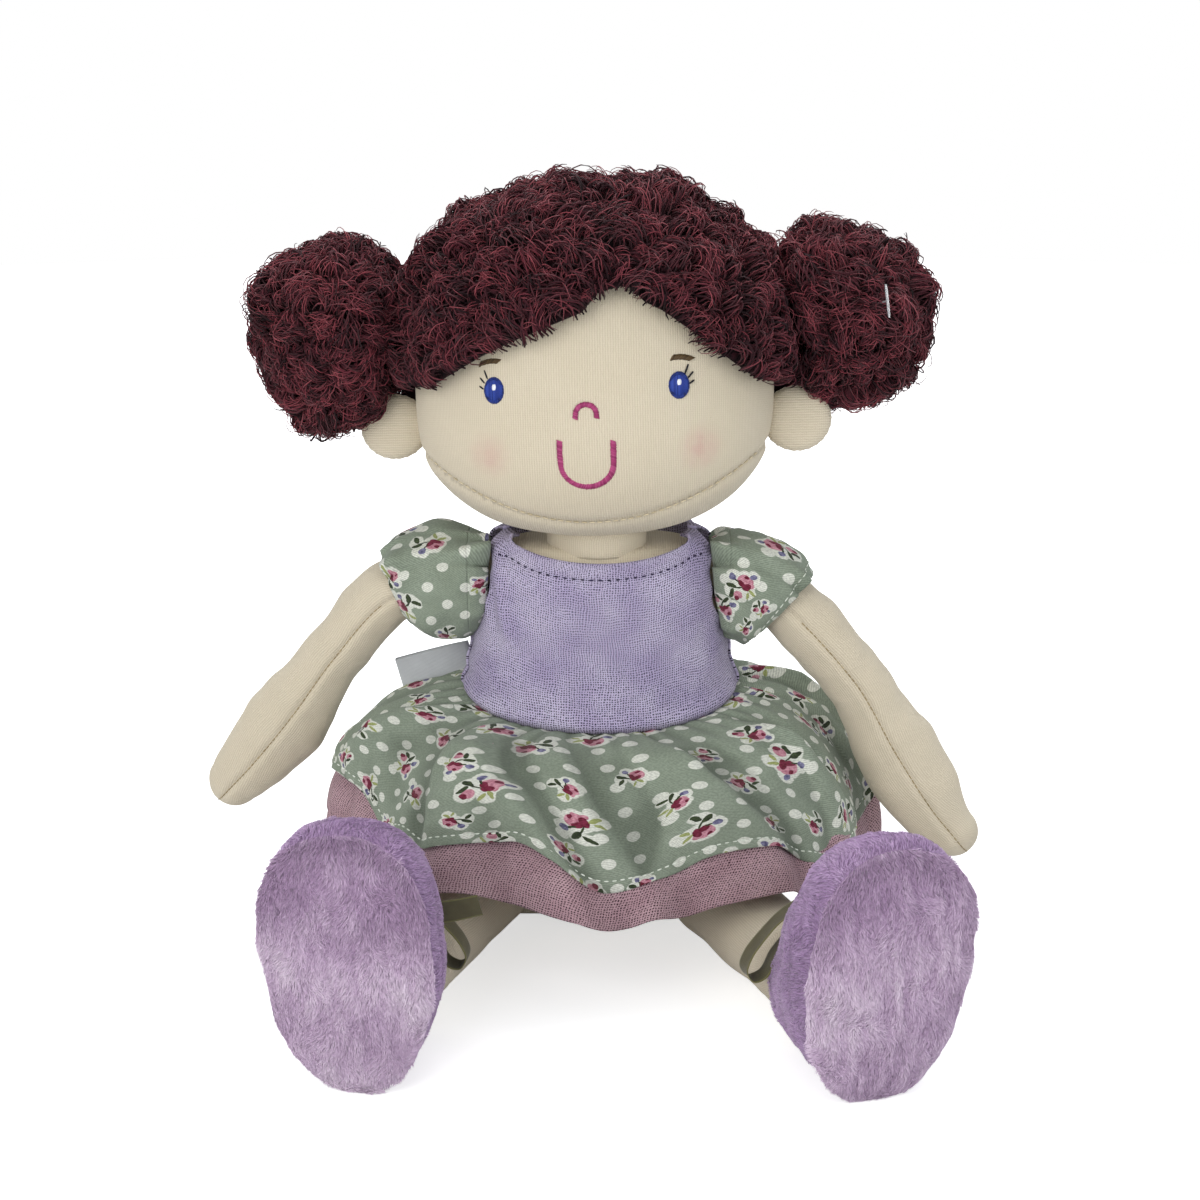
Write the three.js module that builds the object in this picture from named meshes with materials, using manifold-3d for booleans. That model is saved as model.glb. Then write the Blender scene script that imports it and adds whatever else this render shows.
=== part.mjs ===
// Soft rag doll that sits with its legs spread and its soles forward, in a puff-sleeved dress.
// Millimetres. +Z is up, the doll faces -Y, and its own left side is +X.
import * as THREE from 'three';
import { mergeVertices } from 'three/addons/utils/BufferGeometryUtils.js';
import Module from 'manifold-3d';

const wasm = await Module();
wasm.setup();

// Fabrics and the gaps between them
const clearance = 0.3;
const mergeReach = 1e-4;
const jersey = 1.3;
const cotton = 1.1;
const plush = 1.8;
const overrun = 5;

// Stuffed body, flat where it sits
const torsoHeight = 150;
const seatHalfWidth = 38;
const seatHalfDepth = 18;
const seatBack = 17;
const hipBack = 9;
const hipHalfWidth = 52;
const hipHalfDepth = 33;
const hipHeight = 24;
const waistHalfWidth = 46;
const waistHalfDepth = 30;
const waistHeight = 87;
const chestHalfWidth = 41.5;
const chestHalfDepth = 27.5;
const chestHeight = 116;
const shoulderHalfWidth = 40;
const shoulderHalfDepth = 25;
const shoulderHeight = 138;
const collarHalfWidth = 36;
const collarHalfDepth = 20;
const torsoLevelShares = [0, 0.06, 0.12, 0.2, 0.4, 0.6, 0.76, 0.86, 0.93, 1];

// Neck, which turns on the body and carries the head on a round end
const neckRadius = 17.5;
const neckForward = 4;
const nodRise = 2;
const nodHeight = torsoHeight + nodRise;

// Head, thrown back a little and tipped to one side
const headHalfWidth = 61;
const headHalfDepth = 42;
const crownHeight = 62;
const jawHeight = 49;
const headPower = 2.4;
const headRise = 48;
const headCentre = new THREE.Vector3(-2, -6, nodHeight + headRise);
const headPitchAngle = -8;
const headRollAngle = -1.8;
const headYawAngle = -3;
const earRadius = 11;
const earThickness = 8;
const earReach = 70;
const earDrop = 10;

// Hair: a curly cap and two buns
const pileDepth = 10;
const napeTop = 6;
const napeDrop = 30;
const hairlineFront = 4;
const curlHeight = 1.4;
const capCurls = 9;
const bunHalfWidth = 28.5;
const bunHalfHeight = 33.5;
const bunHalfDepth = 28;
const bunBack = 8;
const bunCurls = 7;

// Embroidered face, by distances from the middle of the head
const stitchHeight = 0.9;
const eyeWidth = 6.6;
const eyeHeight = 8.8;
const eyeAcross = 30;
const eyeRise = 2.3;
const lashLength = 4;
const lashWidth = 0.7;
const browWidth = 7;
const browThickness = 2.1;
const browRise = 11.5;
const noseWidth = 8.4;
const noseTop = -2.4;
const noseLeg = 1.6;
const mouthWidth = 19.4;
const mouthTop = -14.7;
const mouthHeight = 16.8;
const threadWidth = 1.9;
const lashRootShare = 0.4;
const lashAngles = [12, 36, 66];

// Arms, which hang from shoulder pivots
const shoulderAcross = 43;
const shoulderPivotHeight = 137;
const tabRadius = 7.5;
const tabStemRadius = 4;
const armLength = 125;
const armRootSetback = 4.5;
const armRootRadius = 9.5;
const armRadius = 11.4;
const handRadius = 14.4;
const handTipRadius = 9.5;
const handFlatShare = 0.82;
const wristShare = 0.6;
const palmShare = 0.85;

// Legs, which swing on hip pivots, and feet on ankle pivots
const legRaiseAngle = 4;
const legLowerAngle = 88;
const footFlexAngle = 12;
const hipAcross = 41;
const hipPivotHeight = 17.5;
const hipStagger = 8;
const thighRadius = 16;
const kneeRadius = 15;
const ankleRadius = 14;
const ankleHeight = 21;
const legLength = 106;
const legRootSetback = 11;

// Plush feet, worn as slippers
const footLength = 88;
const footWidth = 57;
const footDepth = 41;
const soleThickness = 5;
const anklePivotDepth = 25;
const heelTaperShare = 0.1;
const footPower = 2.3;
const footFlat = 0.5;

// Dress
const seamFrontHeight = 86;
const seamBackHeight = 102;
const necklineHalfWidth = 36;
const necklineFront = 144.5;
const necklineBack = 148;
const skirtSide = 92;
const skirtFront = 70;
const skirtBack = 58;
const hemFrontHeight = 44;
const hemOverLegHeight = 55;
const hemSideHeight = 45;
const hemBackHeight = 23;
const petticoatDropShare = 0.15;
const skirtRoundShare = 0.8;
const foldCount = 12;
const foldHeight = 2.4;
const bodiceGap = 3 * clearance;
const skirtGap = 4 * clearance;
const sleeveGap = 5 * clearance;
const sleeveRootDrop = 5;
const sleeveRootHalfHeight = 17;
const sleeveRootHalfDepth = 16;
const sleevePuffRadius = 20;
const sleeveHemRadius = 13.6;
const sleeveLiftShare = 0.35;

// Trimmings
const ribbonWidth = 7.5;
const ribbonThickness = 0.9;
const bowReach = 31;
const bowLoopHeight = 11;
const bowLoopAngle = 20;
const bowTail = 29;
const bowTailAngle = -8;
const knotShare = 0.8;
const bowLift = 46.5;
const labelWidth = 12;
const labelLength = 26;
const labelThickness = 0.5;
const labelRise = 96;
const labelBack = 11;
const labelAngle = 15;
const barbLength = 11;
const barbThickness = 1;
const barbStem = 7;
const barbSide = 'left';

// How finely the round forms are cut
const bodySides = 20;
const headSides = 24;
const headSteps = 6;
const liningSides = 16;
const liningSteps = 4;
const pileSides = 28;
const pileSteps = 7;
const bunSides = 16;
const bunRows = 9;
const earSides = 10;
const earRows = 7;
const limbSides = 10;
const armSteps = 7;
const legSteps = 5;
const tipSteps = 3;
const ballSides = 14;
const ballRows = 8;
const roundSteps = 5;
const curveSteps = 6;
const skirtSteps = 60;
const footSides = 18;
const sleeveSides = 14;
const barbSides = 6;
const halvings = 24;
const degree = Math.PI / 180;
const quarterTurn = Math.PI / 2;
const fullTurn = Math.PI * 2;
const sides = { right: -1, left: 1 };

// Each side's pose; an arm's route gives shares of its length out, back and down from its pivot
const poses = {
  right: { hipForward: 0, splayAngle: 17.4, toeOutAngle: 8, footLeanAngle: 4, hemShare: 0.22 },
  left: { hipForward: hipStagger, splayAngle: 20.4, toeOutAngle: 20, footLeanAngle: 9, hemShare: 0.2 },
};
const armRouteShares = {
  right: [
    [0.16, 0.016, 0.048], [0.264, 0.024, 0.096], [0.408, 0.048, 0.264],
    [0.528, 0.08, 0.432], [0.64, 0.112, 0.576], [0.728, 0.136, 0.68],
  ],
  left: [
    [0.112, -0.008, 0.048], [0.184, -0.016, 0.104], [0.368, -0.056, 0.304],
    [0.48, -0.08, 0.496], [0.584, -0.104, 0.656], [0.648, -0.12, 0.736],
  ],
};

// Materials
function fabric(color, roughness) {
  return new THREE.MeshStandardMaterial({ color, roughness, metalness: 0 });
}
const creamJersey = fabric(0xe0d3b4, 0.9);
const filling = fabric(0xf2f0ea, 1);
const burgundyCurl = fabric(0x4c1c29, 1);
const lilacPlush = fabric(0xa586bb, 0.95);
const paleLilacPlush = fabric(0xb79ccc, 0.95);
const lavenderGauze = fabric(0xa99ccc, 0.9);
const sageCotton = fabric(0x98a694, 0.85);
const mauveGauze = fabric(0xb38a96, 0.9);
const oliveRibbon = fabric(0x4a4630, 0.45);
const blueThread = fabric(0x2a3c8c, 0.6);
const brownThread = fabric(0x4a3226, 0.7);
const plumThread = fabric(0xa63f73, 0.6);
const labelSatin = fabric(0xdedee0, 0.5);
const clearPlastic = fabric(0xd8dcdc, 0.3);

const doll = new THREE.Group();

// Adds one named piece to the doll
function addPiece(name, geometry, material) {
  const mesh = new THREE.Mesh(geometry, material);
  mesh.name = name;
  doll.add(mesh);
}

// Turns lists of points into triangles, with the faces pointing out
function closedGeometry(points, triangles) {
  let volume = 0;
  for (const [a, b, c] of triangles) {
    volume += points[a].dot(new THREE.Vector3().crossVectors(points[b], points[c]));
  }
  const index = triangles.flatMap(([a, b, c]) => (volume < 0 ? [a, c, b] : [a, b, c]));
  const geometry = new THREE.BufferGeometry();
  geometry.setFromPoints(points);
  geometry.setIndex(index);
  return geometry;
}

// Joins rings of points one to the next; a ring of one point is a pole
function ringTriangles(first, firstCount, second, secondCount) {
  const triangles = [];
  const count = Math.max(firstCount, secondCount);
  for (let k = 0; k < count; k += 1) {
    const next = (k + 1) % count;
    if (firstCount === 1) {
      triangles.push([first, second + next, second + k]);
    } else if (secondCount === 1) {
      triangles.push([first + k, first + next, second]);
    } else {
      triangles.push([first + k, first + next, second + next]);
      triangles.push([first + k, second + next, second + k]);
    }
  }
  return triangles;
}

function middleOf(ring) {
  return ring.reduce((sum, point) => sum.add(point), new THREE.Vector3()).divideScalar(ring.length);
}

// A closed solid through rings, with a flat cap on an end that isn't a pole
function loft(rings) {
  const all = [...rings];
  if (all[0].length > 1) all.unshift([middleOf(all[0])]);
  if (all.at(-1).length > 1) all.push([middleOf(all.at(-1))]);
  return joinRings(all, false);
}

// A tube wall: rings out along one face and back along the other
function hoop(rings) {
  return joinRings(rings, true);
}

function joinRings(rings, closed) {
  const starts = [];
  const points = [];
  for (const ring of rings) {
    starts.push(points.length);
    points.push(...ring);
  }
  const triangles = [];
  const joints = closed ? rings.length : rings.length - 1;
  for (let k = 0; k < joints; k += 1) {
    const next = (k + 1) % rings.length;
    triangles.push(...ringTriangles(starts[k], rings[k].length, starts[next], rings[next].length));
  }
  return closedGeometry(points, triangles);
}

// To and from the solids that cut and join
function solid(geometry) {
  const bare = geometry.clone();
  bare.deleteAttribute('normal');
  bare.deleteAttribute('uv');
  const merged = mergeVertices(bare, mergeReach);
  return new wasm.Manifold(new wasm.Mesh({
    numProp: 3,
    vertProperties: new Float32Array(merged.attributes.position.array),
    triVerts: new Uint32Array(merged.index.array),
  }));
}

function shapeOf(body) {
  const mesh = body.getMesh();
  const geometry = new THREE.BufferGeometry();
  geometry.setAttribute('position', new THREE.BufferAttribute(new Float32Array(mesh.vertProperties), 3));
  geometry.setIndex(new THREE.BufferAttribute(new Uint32Array(mesh.triVerts), 1));
  return geometry;
}

function cut(geometry, ...cutters) {
  return shapeOf(cutters.reduce((body, cutter) => body.subtract(solid(cutter)), solid(geometry)));
}

function common(geometry, other) {
  return shapeOf(solid(geometry).intersect(solid(other)));
}

function join(...geometries) {
  return shapeOf(geometries.map(solid).reduce((body, next) => body.add(next)));
}

function ball(centre, radius) {
  const geometry = new THREE.SphereGeometry(radius, ballSides, ballRows);
  geometry.rotateX(quarterTurn);
  return geometry.translate(centre.x, centre.y, centre.z);
}

// A ball whose facets all lie outside the radius, to cut room for a round end
function hollowBall(centre, radius) {
  return ball(centre, radius / (Math.cos(Math.PI / ballSides) * Math.cos(quarterTurn / ballRows)));
}

// An outline carried straight out by a depth
function prism(outline, depth) {
  return new THREE.ExtrudeGeometry(outline, { depth, bevelEnabled: false, curveSegments: curveSteps });
}

function turned(geometry, pivot, axis, angle) {
  geometry.translate(-pivot.x, -pivot.y, -pivot.z);
  geometry.applyMatrix4(new THREE.Matrix4().makeRotationAxis(axis, angle * degree));
  return geometry.translate(pivot.x, pivot.y, pivot.z);
}

function block(low, high) {
  const size = high.clone().sub(low);
  const centre = high.clone().add(low).multiplyScalar(0.5);
  return new THREE.BoxGeometry(size.x, size.y, size.z).translate(centre.x, centre.y, centre.z);
}

// Torso: level rings whose half width, half depth and height follow one curve
const torsoCurve = new THREE.CatmullRomCurve3([
  new THREE.Vector3(seatHalfWidth, seatHalfDepth, 0),
  new THREE.Vector3(hipHalfWidth, hipHalfDepth, hipHeight),
  new THREE.Vector3(waistHalfWidth, waistHalfDepth, waistHeight),
  new THREE.Vector3(chestHalfWidth, chestHalfDepth, chestHeight),
  new THREE.Vector3(shoulderHalfWidth, shoulderHalfDepth, shoulderHeight),
  new THREE.Vector3(collarHalfWidth, collarHalfDepth, torsoHeight),
], false, 'centripetal');
function levelRing(halfWidth, halfDepth, height, count, back = 0) {
  return Array.from({ length: count }, (_, k) => {
    const angle = (k / count) * fullTurn;
    return new THREE.Vector3(halfWidth * Math.cos(angle), back + halfDepth * Math.sin(angle), height);
  });
}

// The body leans back towards the seat, which lies behind the lap
function torsoRing(level, grow, count) {
  const belowHip = 1 - THREE.MathUtils.smoothstep(level.z, 0, hipHeight);
  const belowWaist = 1 - THREE.MathUtils.smoothstep(level.z, 0, waistHeight);
  const back = (seatBack - hipBack) * belowHip + hipBack * belowWaist;
  return levelRing(level.x + grow, level.y + grow, level.z, count, back);
}

function torsoRings(grow, count) {
  return torsoLevelShares.map((share) => torsoRing(torsoCurve.getPoint(share), grow, count));
}

// The body's half width and half depth at a height
function torsoAt(height) {
  let low = 0;
  let high = 1;
  for (let k = 0; k < halvings; k += 1) {
    const middle = (low + high) / 2;
    if (torsoCurve.getPoint(middle).z < height) low = middle;
    else high = middle;
  }
  return torsoCurve.getPoint(low);
}

// A limb's radii in even steps along its route, as one smooth curve
function radiusCurve(radii) {
  return new THREE.SplineCurve(radii.map((radius, k) => new THREE.Vector2(k, radius)));
}

// Limbs: rings square to a route, round at the tip and flat at the root
function limbRings(limb, grow, root) {
  const length = limb.route.getLength();
  const tipRadius = limb.radiusAt(1) + grow;
  const stations = [];
  for (let k = 0; k <= limb.steps; k += 1) {
    stations.push({ along: root + ((length - root) * k) / limb.steps, share: 1 });
  }
  for (let k = 1; k < tipSteps; k += 1) {
    const turn = (k / tipSteps) * quarterTurn;
    stations.push({ along: length + tipRadius * Math.sin(turn), share: Math.cos(turn) });
  }
  const rings = stations.map(({ along, share }) => limbRing(limb, along, share, grow));
  const end = limb.route.getPoint(1).addScaledVector(limb.route.getTangent(1), tipRadius);
  return [...rings, [end]];
}

function limbRing(limb, along, share, grow) {
  const length = limb.route.getLength();
  const inside = THREE.MathUtils.clamp(along / length, 0, 1);
  const tangent = limb.route.getTangentAt(inside);
  const centre = limb.route.getPointAt(inside).addScaledVector(tangent, along - inside * length);
  const across = new THREE.Vector3().crossVectors(tangent, limb.upright).normalize();
  const up = new THREE.Vector3().crossVectors(across, tangent);
  const rootRound = along < 0 ? Math.sqrt(1 - (along / limb.radiusAt(0)) ** 2) : 1;
  const radius = (limb.radiusAt(inside) + grow) * share * rootRound;
  const flat = limb.flatAt(inside);
  return Array.from({ length: limbSides }, (_, k) => {
    const angle = (k / limbSides) * fullTurn;
    return centre.clone()
      .addScaledVector(across, radius * Math.cos(angle))
      .addScaledVector(up, radius * flat * Math.sin(angle));
  });
}

// A sewn skin open at its root, and the filling inside it
function limbCover(limb, root) {
  const outer = limbRings(limb, 0, root);
  const inner = limbRings(limb, -jersey, root);
  return loft([...outer.reverse(), ...inner]);
}

function limbFilling(limb, root) {
  return loft(limbRings(limb, -jersey - clearance, root));
}

// Arms
function armOf(side) {
  const pivot = new THREE.Vector3(sides[side] * shoulderAcross, 0, shoulderPivotHeight);
  const points = armRouteShares[side].map(([out, back, down]) => (
    new THREE.Vector3(sides[side] * out, back, -down).multiplyScalar(armLength).add(pivot)
  ));
  const radii = radiusCurve([
    armRootRadius, (armRootRadius + armRadius) / 2, armRadius, armRadius, handRadius, handTipRadius,
  ]);
  return {
    pivot,
    route: new THREE.CatmullRomCurve3([pivot, ...points], false, 'centripetal'),
    radiusAt: (share) => radii.getPoint(share).y,
    flatAt: (share) => 1 - (1 - handFlatShare) * THREE.MathUtils.smoothstep(share, wristShare, palmShare),
    upright: new THREE.Vector3(0, 1, 0),
    steps: armSteps,
    hemShare: poses[side].hemShare,
  };
}

// Legs
function legOf(side) {
  const turn = poses[side].splayAngle * degree;
  const pivot = new THREE.Vector3(sides[side] * hipAcross, -poses[side].hipForward, hipPivotHeight);
  const ankle = new THREE.Vector3(
    pivot.x + sides[side] * legLength * Math.sin(turn),
    pivot.y - legLength * Math.cos(turn),
    ankleHeight,
  );
  const radii = radiusCurve([thighRadius, kneeRadius, ankleRadius]);
  return {
    pivot,
    ankle,
    route: new THREE.LineCurve3(pivot, ankle),
    radiusAt: (share) => radii.getPoint(share).y,
    flatAt: () => 1,
    upright: new THREE.Vector3(0, 0, 1),
    steps: legSteps,
  };
}

// The level line that a leg and its foot swing about; positive lifts the toes
function swingAxis(leg) {
  const along = leg.ankle.clone().sub(leg.pivot).setZ(0).normalize();
  return new THREE.Vector3().crossVectors(along, new THREE.Vector3(0, 0, 1));
}

// What a swinging leg sweeps: a sector, and the leg at each end of its swing
function legSweep(leg) {
  const along = leg.ankle.clone().sub(leg.pivot).setZ(0).normalize();
  const axis = swingAxis(leg);
  const radius = thighRadius + clearance;
  const sector = new THREE.Shape();
  sector.moveTo(0, 0);
  const lowest = -legLowerAngle * degree;
  sector.lineTo(legLength * Math.cos(lowest), legLength * Math.sin(lowest));
  sector.absarc(0, 0, legLength, lowest, legRaiseAngle * degree, false);
  const wedge = prism(sector, 2 * radius);
  wedge.translate(0, 0, -radius);
  const up = new THREE.Vector3(0, 0, 1);
  wedge.applyMatrix4(new THREE.Matrix4().makeBasis(along, up, axis).setPosition(leg.pivot));
  const cutters = [wedge, hollowBall(leg.pivot, radius)];
  for (const angle of [legRaiseAngle, -legLowerAngle]) {
    cutters.push(turned(loft(limbRings(leg, clearance, 0)), leg.pivot, axis, angle));
  }
  return cutters;
}

const arms = { right: armOf('right'), left: armOf('left') };
const legs = { right: legOf('right'), left: legOf('left') };
const armRootReach = Math.hypot(armRootSetback, armRootRadius) + clearance;

// Body, with rounded places cut for the hips and the shoulders
function torsoPieces() {
  const sweeps = [...legSweep(legs.right), ...legSweep(legs.left)];
  const shoulders = [arms.right, arms.left].map((arm) => hollowBall(arm.pivot, armRootReach));
  const skin = torsoRings(0, bodySides);
  const lining = torsoRings(-jersey, bodySides).slice(1);
  lining.unshift(torsoRing(torsoAt(jersey), -jersey, bodySides));
  const bed = -jersey - clearance;
  const coarse = bodySides / 2;
  const filled = [torsoRing(torsoAt(-bed), bed, coarse), ...torsoRings(bed, coarse).slice(1)];
  const middle = new THREE.Vector3(0, seatBack, 0);
  const cover = loft([[middle], ...skin, ...lining.reverse(), [middle.clone().setZ(jersey)]]);
  addPiece('torso_cover', cut(cover, ...sweeps, ...shoulders), creamJersey);
  addPiece('torso_stuffing', cut(loft(filled), ...sweeps, ...shoulders), filling);
}

// Neck: a short post whose round end sits in the head
const nodPivot = new THREE.Vector3(headCentre.x / 2, -neckForward, nodHeight);
function neckPiece() {
  const foot = torsoHeight + clearance;
  const profile = [new THREE.Vector2(0, foot), new THREE.Vector2(neckRadius, foot)];
  for (let k = 0; k <= roundSteps; k += 1) {
    const turn = (k / roundSteps) * quarterTurn;
    profile.push(new THREE.Vector2(neckRadius * Math.cos(turn), nodHeight + neckRadius * Math.sin(turn)));
  }
  profile.at(-1).x = 0;
  const post = new THREE.LatheGeometry(profile, bodySides);
  post.rotateX(quarterTurn);
  post.translate(nodPivot.x, nodPivot.y, 0);
  addPiece('neck', shapeOf(solid(post)), creamJersey);
}

// Head: level rings of one rounded outline, placed by its tilt
const headTurns = [headPitchAngle, headRollAngle, headYawAngle].map((angle) => angle * degree);
const headTilt = new THREE.Euler(...headTurns, 'ZYX');
const headPlace = new THREE.Matrix4().makeRotationFromEuler(headTilt).setPosition(headCentre);

function headRings(grow, count, steps) {
  const rings = [[new THREE.Vector3(0, 0, -jawHeight - grow)]];
  for (let k = 1 - steps; k < steps; k += 1) {
    const level = Math.sin((k / steps) * quarterTurn);
    const share = (1 - Math.abs(level) ** headPower) ** (1 / headPower);
    const reach = (level > 0 ? crownHeight : jawHeight) + grow;
    const halfWidth = (headHalfWidth + grow) * share;
    const halfDepth = (headHalfDepth + grow) * share;
    rings.push(levelRing(halfWidth, halfDepth, level * reach, count));
  }
  return [...rings, [new THREE.Vector3(0, 0, crownHeight + grow)]];
}

function headForm(grow, count = headSides, steps = headSteps) {
  return loft(headRings(grow, count, steps)).applyMatrix4(headPlace);
}

function headPieces() {
  const socket = hollowBall(nodPivot, neckRadius + clearance);
  const hollow = headForm(-jersey, liningSides, liningSteps);
  addPiece('head_cover', cut(headForm(0), hollow, socket), creamJersey);
  const stuffing = headForm(-jersey - 2 * clearance, liningSides, liningSteps);
  addPiece('head_stuffing', cut(stuffing, socket), filling);
}

function earPiece(side) {
  const ear = new THREE.SphereGeometry(earRadius, earSides, earRows);
  ear.scale(1, earThickness / (2 * earRadius), 1);
  ear.translate(sides[side] * earReach, 0, -earDrop);
  ear.applyMatrix4(headPlace);
  addPiece(`ear_${side}`, cut(ear, headForm(clearance), bunForm(side, 2 * clearance)), creamJersey);
}

// Curls as low mounds over a round form, from a point's direction
function curlAt(direction, tufts) {
  const turn = Math.atan2(direction.y, direction.x);
  const lean = Math.acos(THREE.MathUtils.clamp(direction.z, -1, 1));
  return Math.cos(turn * tufts) * Math.sin(lean * tufts) * curlHeight;
}

function tufted(geometry, tufts) {
  const place = geometry.attributes.position;
  for (let k = 0; k < place.count; k += 1) {
    const point = new THREE.Vector3().fromBufferAttribute(place, k);
    const direction = point.clone().normalize();
    point.addScaledVector(direction, curlAt(direction, tufts));
    place.setXYZ(k, point.x, point.y, point.z);
  }
  return geometry;
}

// Hair cap: the head grown by the pile, less the face and the nape
function hairCap() {
  const hairline = new THREE.Shape(hairlineShares.map(([across, rise]) => (
    new THREE.Vector2(across * headHalfWidth, rise * crownHeight)
  )));
  const reach = headHalfDepth + pileDepth + overrun;
  const face = prism(hairline, reach + hairlineFront);
  face.rotateX(quarterTurn);
  face.translate(0, hairlineFront, 0);
  face.applyMatrix4(headPlace);
  const width = headHalfWidth + pileDepth + overrun;
  const nape = new THREE.Shape([
    new THREE.Vector2(-reach, -napeTop),
    new THREE.Vector2(hairlineFront, -napeTop),
    new THREE.Vector2(reach, -napeDrop),
    new THREE.Vector2(reach, -2 * jawHeight),
    new THREE.Vector2(-reach, -2 * jawHeight),
  ]);
  const under = prism(nape, 2 * width);
  under.applyMatrix4(new THREE.Matrix4().makeBasis(
    new THREE.Vector3(0, 1, 0),
    new THREE.Vector3(0, 0, 1),
    new THREE.Vector3(1, 0, 0),
  ));
  under.translate(-width, 0, 0);
  under.applyMatrix4(headPlace);
  const pile = tufted(loft(headRings(pileDepth, pileSides, pileSteps)), capCurls).applyMatrix4(headPlace);
  addPiece('hair_cap', cut(pile, headForm(clearance), face, under), burgundyCurl);
}

const hairlineShares = [
  [-1.4, -1.2], [1.4, -1.2], [1.4, 0.05], [0.96, 0.05], [0.83, 0.15], [0.63, 0.31],
  [0.44, 0.45], [0.34, 0.5], [0.26, 0.58], [0.2, 0.59], [0.08, 0.56], [-0.02, 0.45],
  [-0.18, 0.39], [-0.39, 0.31], [-0.58, 0.23], [-0.9, 0.06], [-1.4, 0.06],
];

// Buns, cut to the side of the cap, by shares of the head's half width and crown height
const bunShares = {
  right: { across: 1.44, rise: 0.29 },
  left: { across: 1.39, rise: 0.4 },
};

function bunCentre(side) {
  const across = sides[side] * bunShares[side].across * headHalfWidth;
  return new THREE.Vector3(across, bunBack, bunShares[side].rise * crownHeight).add(headCentre);
}

function bunForm(side, grow) {
  const form = new THREE.SphereGeometry(1, bunSides, bunRows);
  form.scale(bunHalfWidth + grow, bunHalfDepth + grow, bunHalfHeight + grow);
  return tufted(form, bunCurls).translate(...bunCentre(side).toArray());
}

function bunPiece(side) {
  const capRings = headRings(pileDepth + curlHeight + 2 * clearance, pileSides, pileSteps);
  const cutters = [loft(capRings).applyMatrix4(headPlace)];
  if (side === barbSide) cutters.push(barbStemForm(clearance));
  addPiece(`bun_${side}`, cut(bunForm(side, 0), ...cutters), burgundyCurl);
}

// Face: flat outlines carried back to a thin layer on the head
function stitched(name, outlines, material) {
  const reach = headHalfDepth + overrun;
  const prisms = outlines.map((outline) => (
    prism(outline, reach).rotateX(quarterTurn).applyMatrix4(headPlace)
  ));
  const layer = cut(headForm(clearance + stitchHeight), headForm(clearance));
  addPiece(name, common(join(...prisms), layer), material);
}

function ellipseOutline(across, rise, width, height) {
  const outline = new THREE.Shape();
  outline.absellipse(across, rise, width / 2, height / 2, 0, fullTurn, false);
  return outline;
}

// A narrow bar from one point, at a lean from straight up
function barOutline(across, rise, length, width, lean) {
  const along = new THREE.Vector2(Math.sin(lean), Math.cos(lean));
  const half = new THREE.Vector2(along.y, -along.x).multiplyScalar(width / 2);
  const foot = new THREE.Vector2(across, rise);
  const reach = along.multiplyScalar(length);
  const outer = foot.clone().add(half);
  const inner = foot.clone().sub(half);
  return new THREE.Shape([inner, outer, outer.clone().add(reach), inner.clone().add(reach)]);
}

// A horseshoe of thread; up is 1 for an arch and -1 for a smile
function horseshoeOutline(top, width, leg, up) {
  const outer = width / 2;
  const inner = outer - threadWidth;
  const start = up > 0 ? 0 : Math.PI;
  const outline = new THREE.Shape();
  outline.moveTo(up * outer, top - up * leg);
  outline.absarc(0, top, outer, start, start + Math.PI, false);
  outline.lineTo(-up * outer, top - up * leg);
  outline.lineTo(-up * inner, top - up * leg);
  outline.absarc(0, top, inner, start + Math.PI, start, true);
  outline.lineTo(up * inner, top - up * leg);
  return outline;
}

function facePieces() {
  for (const side of Object.keys(sides)) {
    const across = sides[side] * eyeAcross;
    const lashes = lashAngles.map((lean) => {
      const turn = sides[side] * lean * degree;
      const foot = new THREE.Vector2(Math.sin(turn) * eyeWidth, Math.cos(turn) * eyeHeight);
      foot.multiplyScalar(lashRootShare);
      return barOutline(across + foot.x, eyeRise + foot.y, lashLength, lashWidth, turn);
    });
    stitched(`eye_${side}`, [ellipseOutline(across, eyeRise, eyeWidth, eyeHeight), ...lashes], blueThread);
    const brow = ellipseOutline(across + sides[side] * threadWidth / 2, browRise, browWidth, browThickness);
    stitched(`brow_${side}`, [brow], brownThread);
  }
  const noseRise = noseTop - noseWidth / 2;
  stitched('nose', [horseshoeOutline(noseRise, noseWidth, noseLeg, 1)], plumThread);
  const smileLeg = mouthHeight - mouthWidth / 2;
  stitched('mouth', [horseshoeOutline(mouthTop - smileLeg, mouthWidth, smileLeg, -1)], plumThread);
}

// Arms: a sewn skin and its filling, hung on a tab stitched into the side of the body
function armPieces(side) {
  const arm = arms[side];
  const room = hollowBall(arm.pivot, tabRadius + clearance);
  const stemReach = Math.sqrt((armRootReach - clearance) ** 2 - tabStemRadius ** 2);
  const stem = new THREE.CylinderGeometry(tabStemRadius, tabStemRadius, stemReach, ballSides);
  stem.rotateZ(quarterTurn).translate(-sides[side] * stemReach / 2, 0, 0);
  stem.translate(...arm.pivot.toArray());
  addPiece(`arm_cover_${side}`, limbCover(arm, armRootSetback), creamJersey);
  addPiece(`arm_stuffing_${side}`, cut(limbFilling(arm, armRootSetback), room), filling);
  addPiece(`shoulder_tab_${side}`, join(ball(arm.pivot, tabRadius), stem), creamJersey);
}

// Legs: a sewn skin and its filling, round at the hip and at the ankle
function legPieces(side) {
  const leg = legs[side];
  addPiece(`leg_cover_${side}`, limbCover(leg, -legRootSetback), creamJersey);
  addPiece(`leg_stuffing_${side}`, limbFilling(leg, -legRootSetback), filling);
}

// Foot outlines, heel down, drawn in from the sole back to the ankle
const footShares = [
  { depth: 0, width: 0.94, height: 0.97 },
  { depth: 0.16, width: 1, height: 1 },
  { depth: 0.45, width: 0.98, height: 0.96 },
  { depth: 0.7, width: 0.88, height: 0.82 },
  { depth: 0.88, width: 0.8, height: 0.66 },
  { depth: 1, width: 0.74, height: 0.54 },
];

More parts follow.
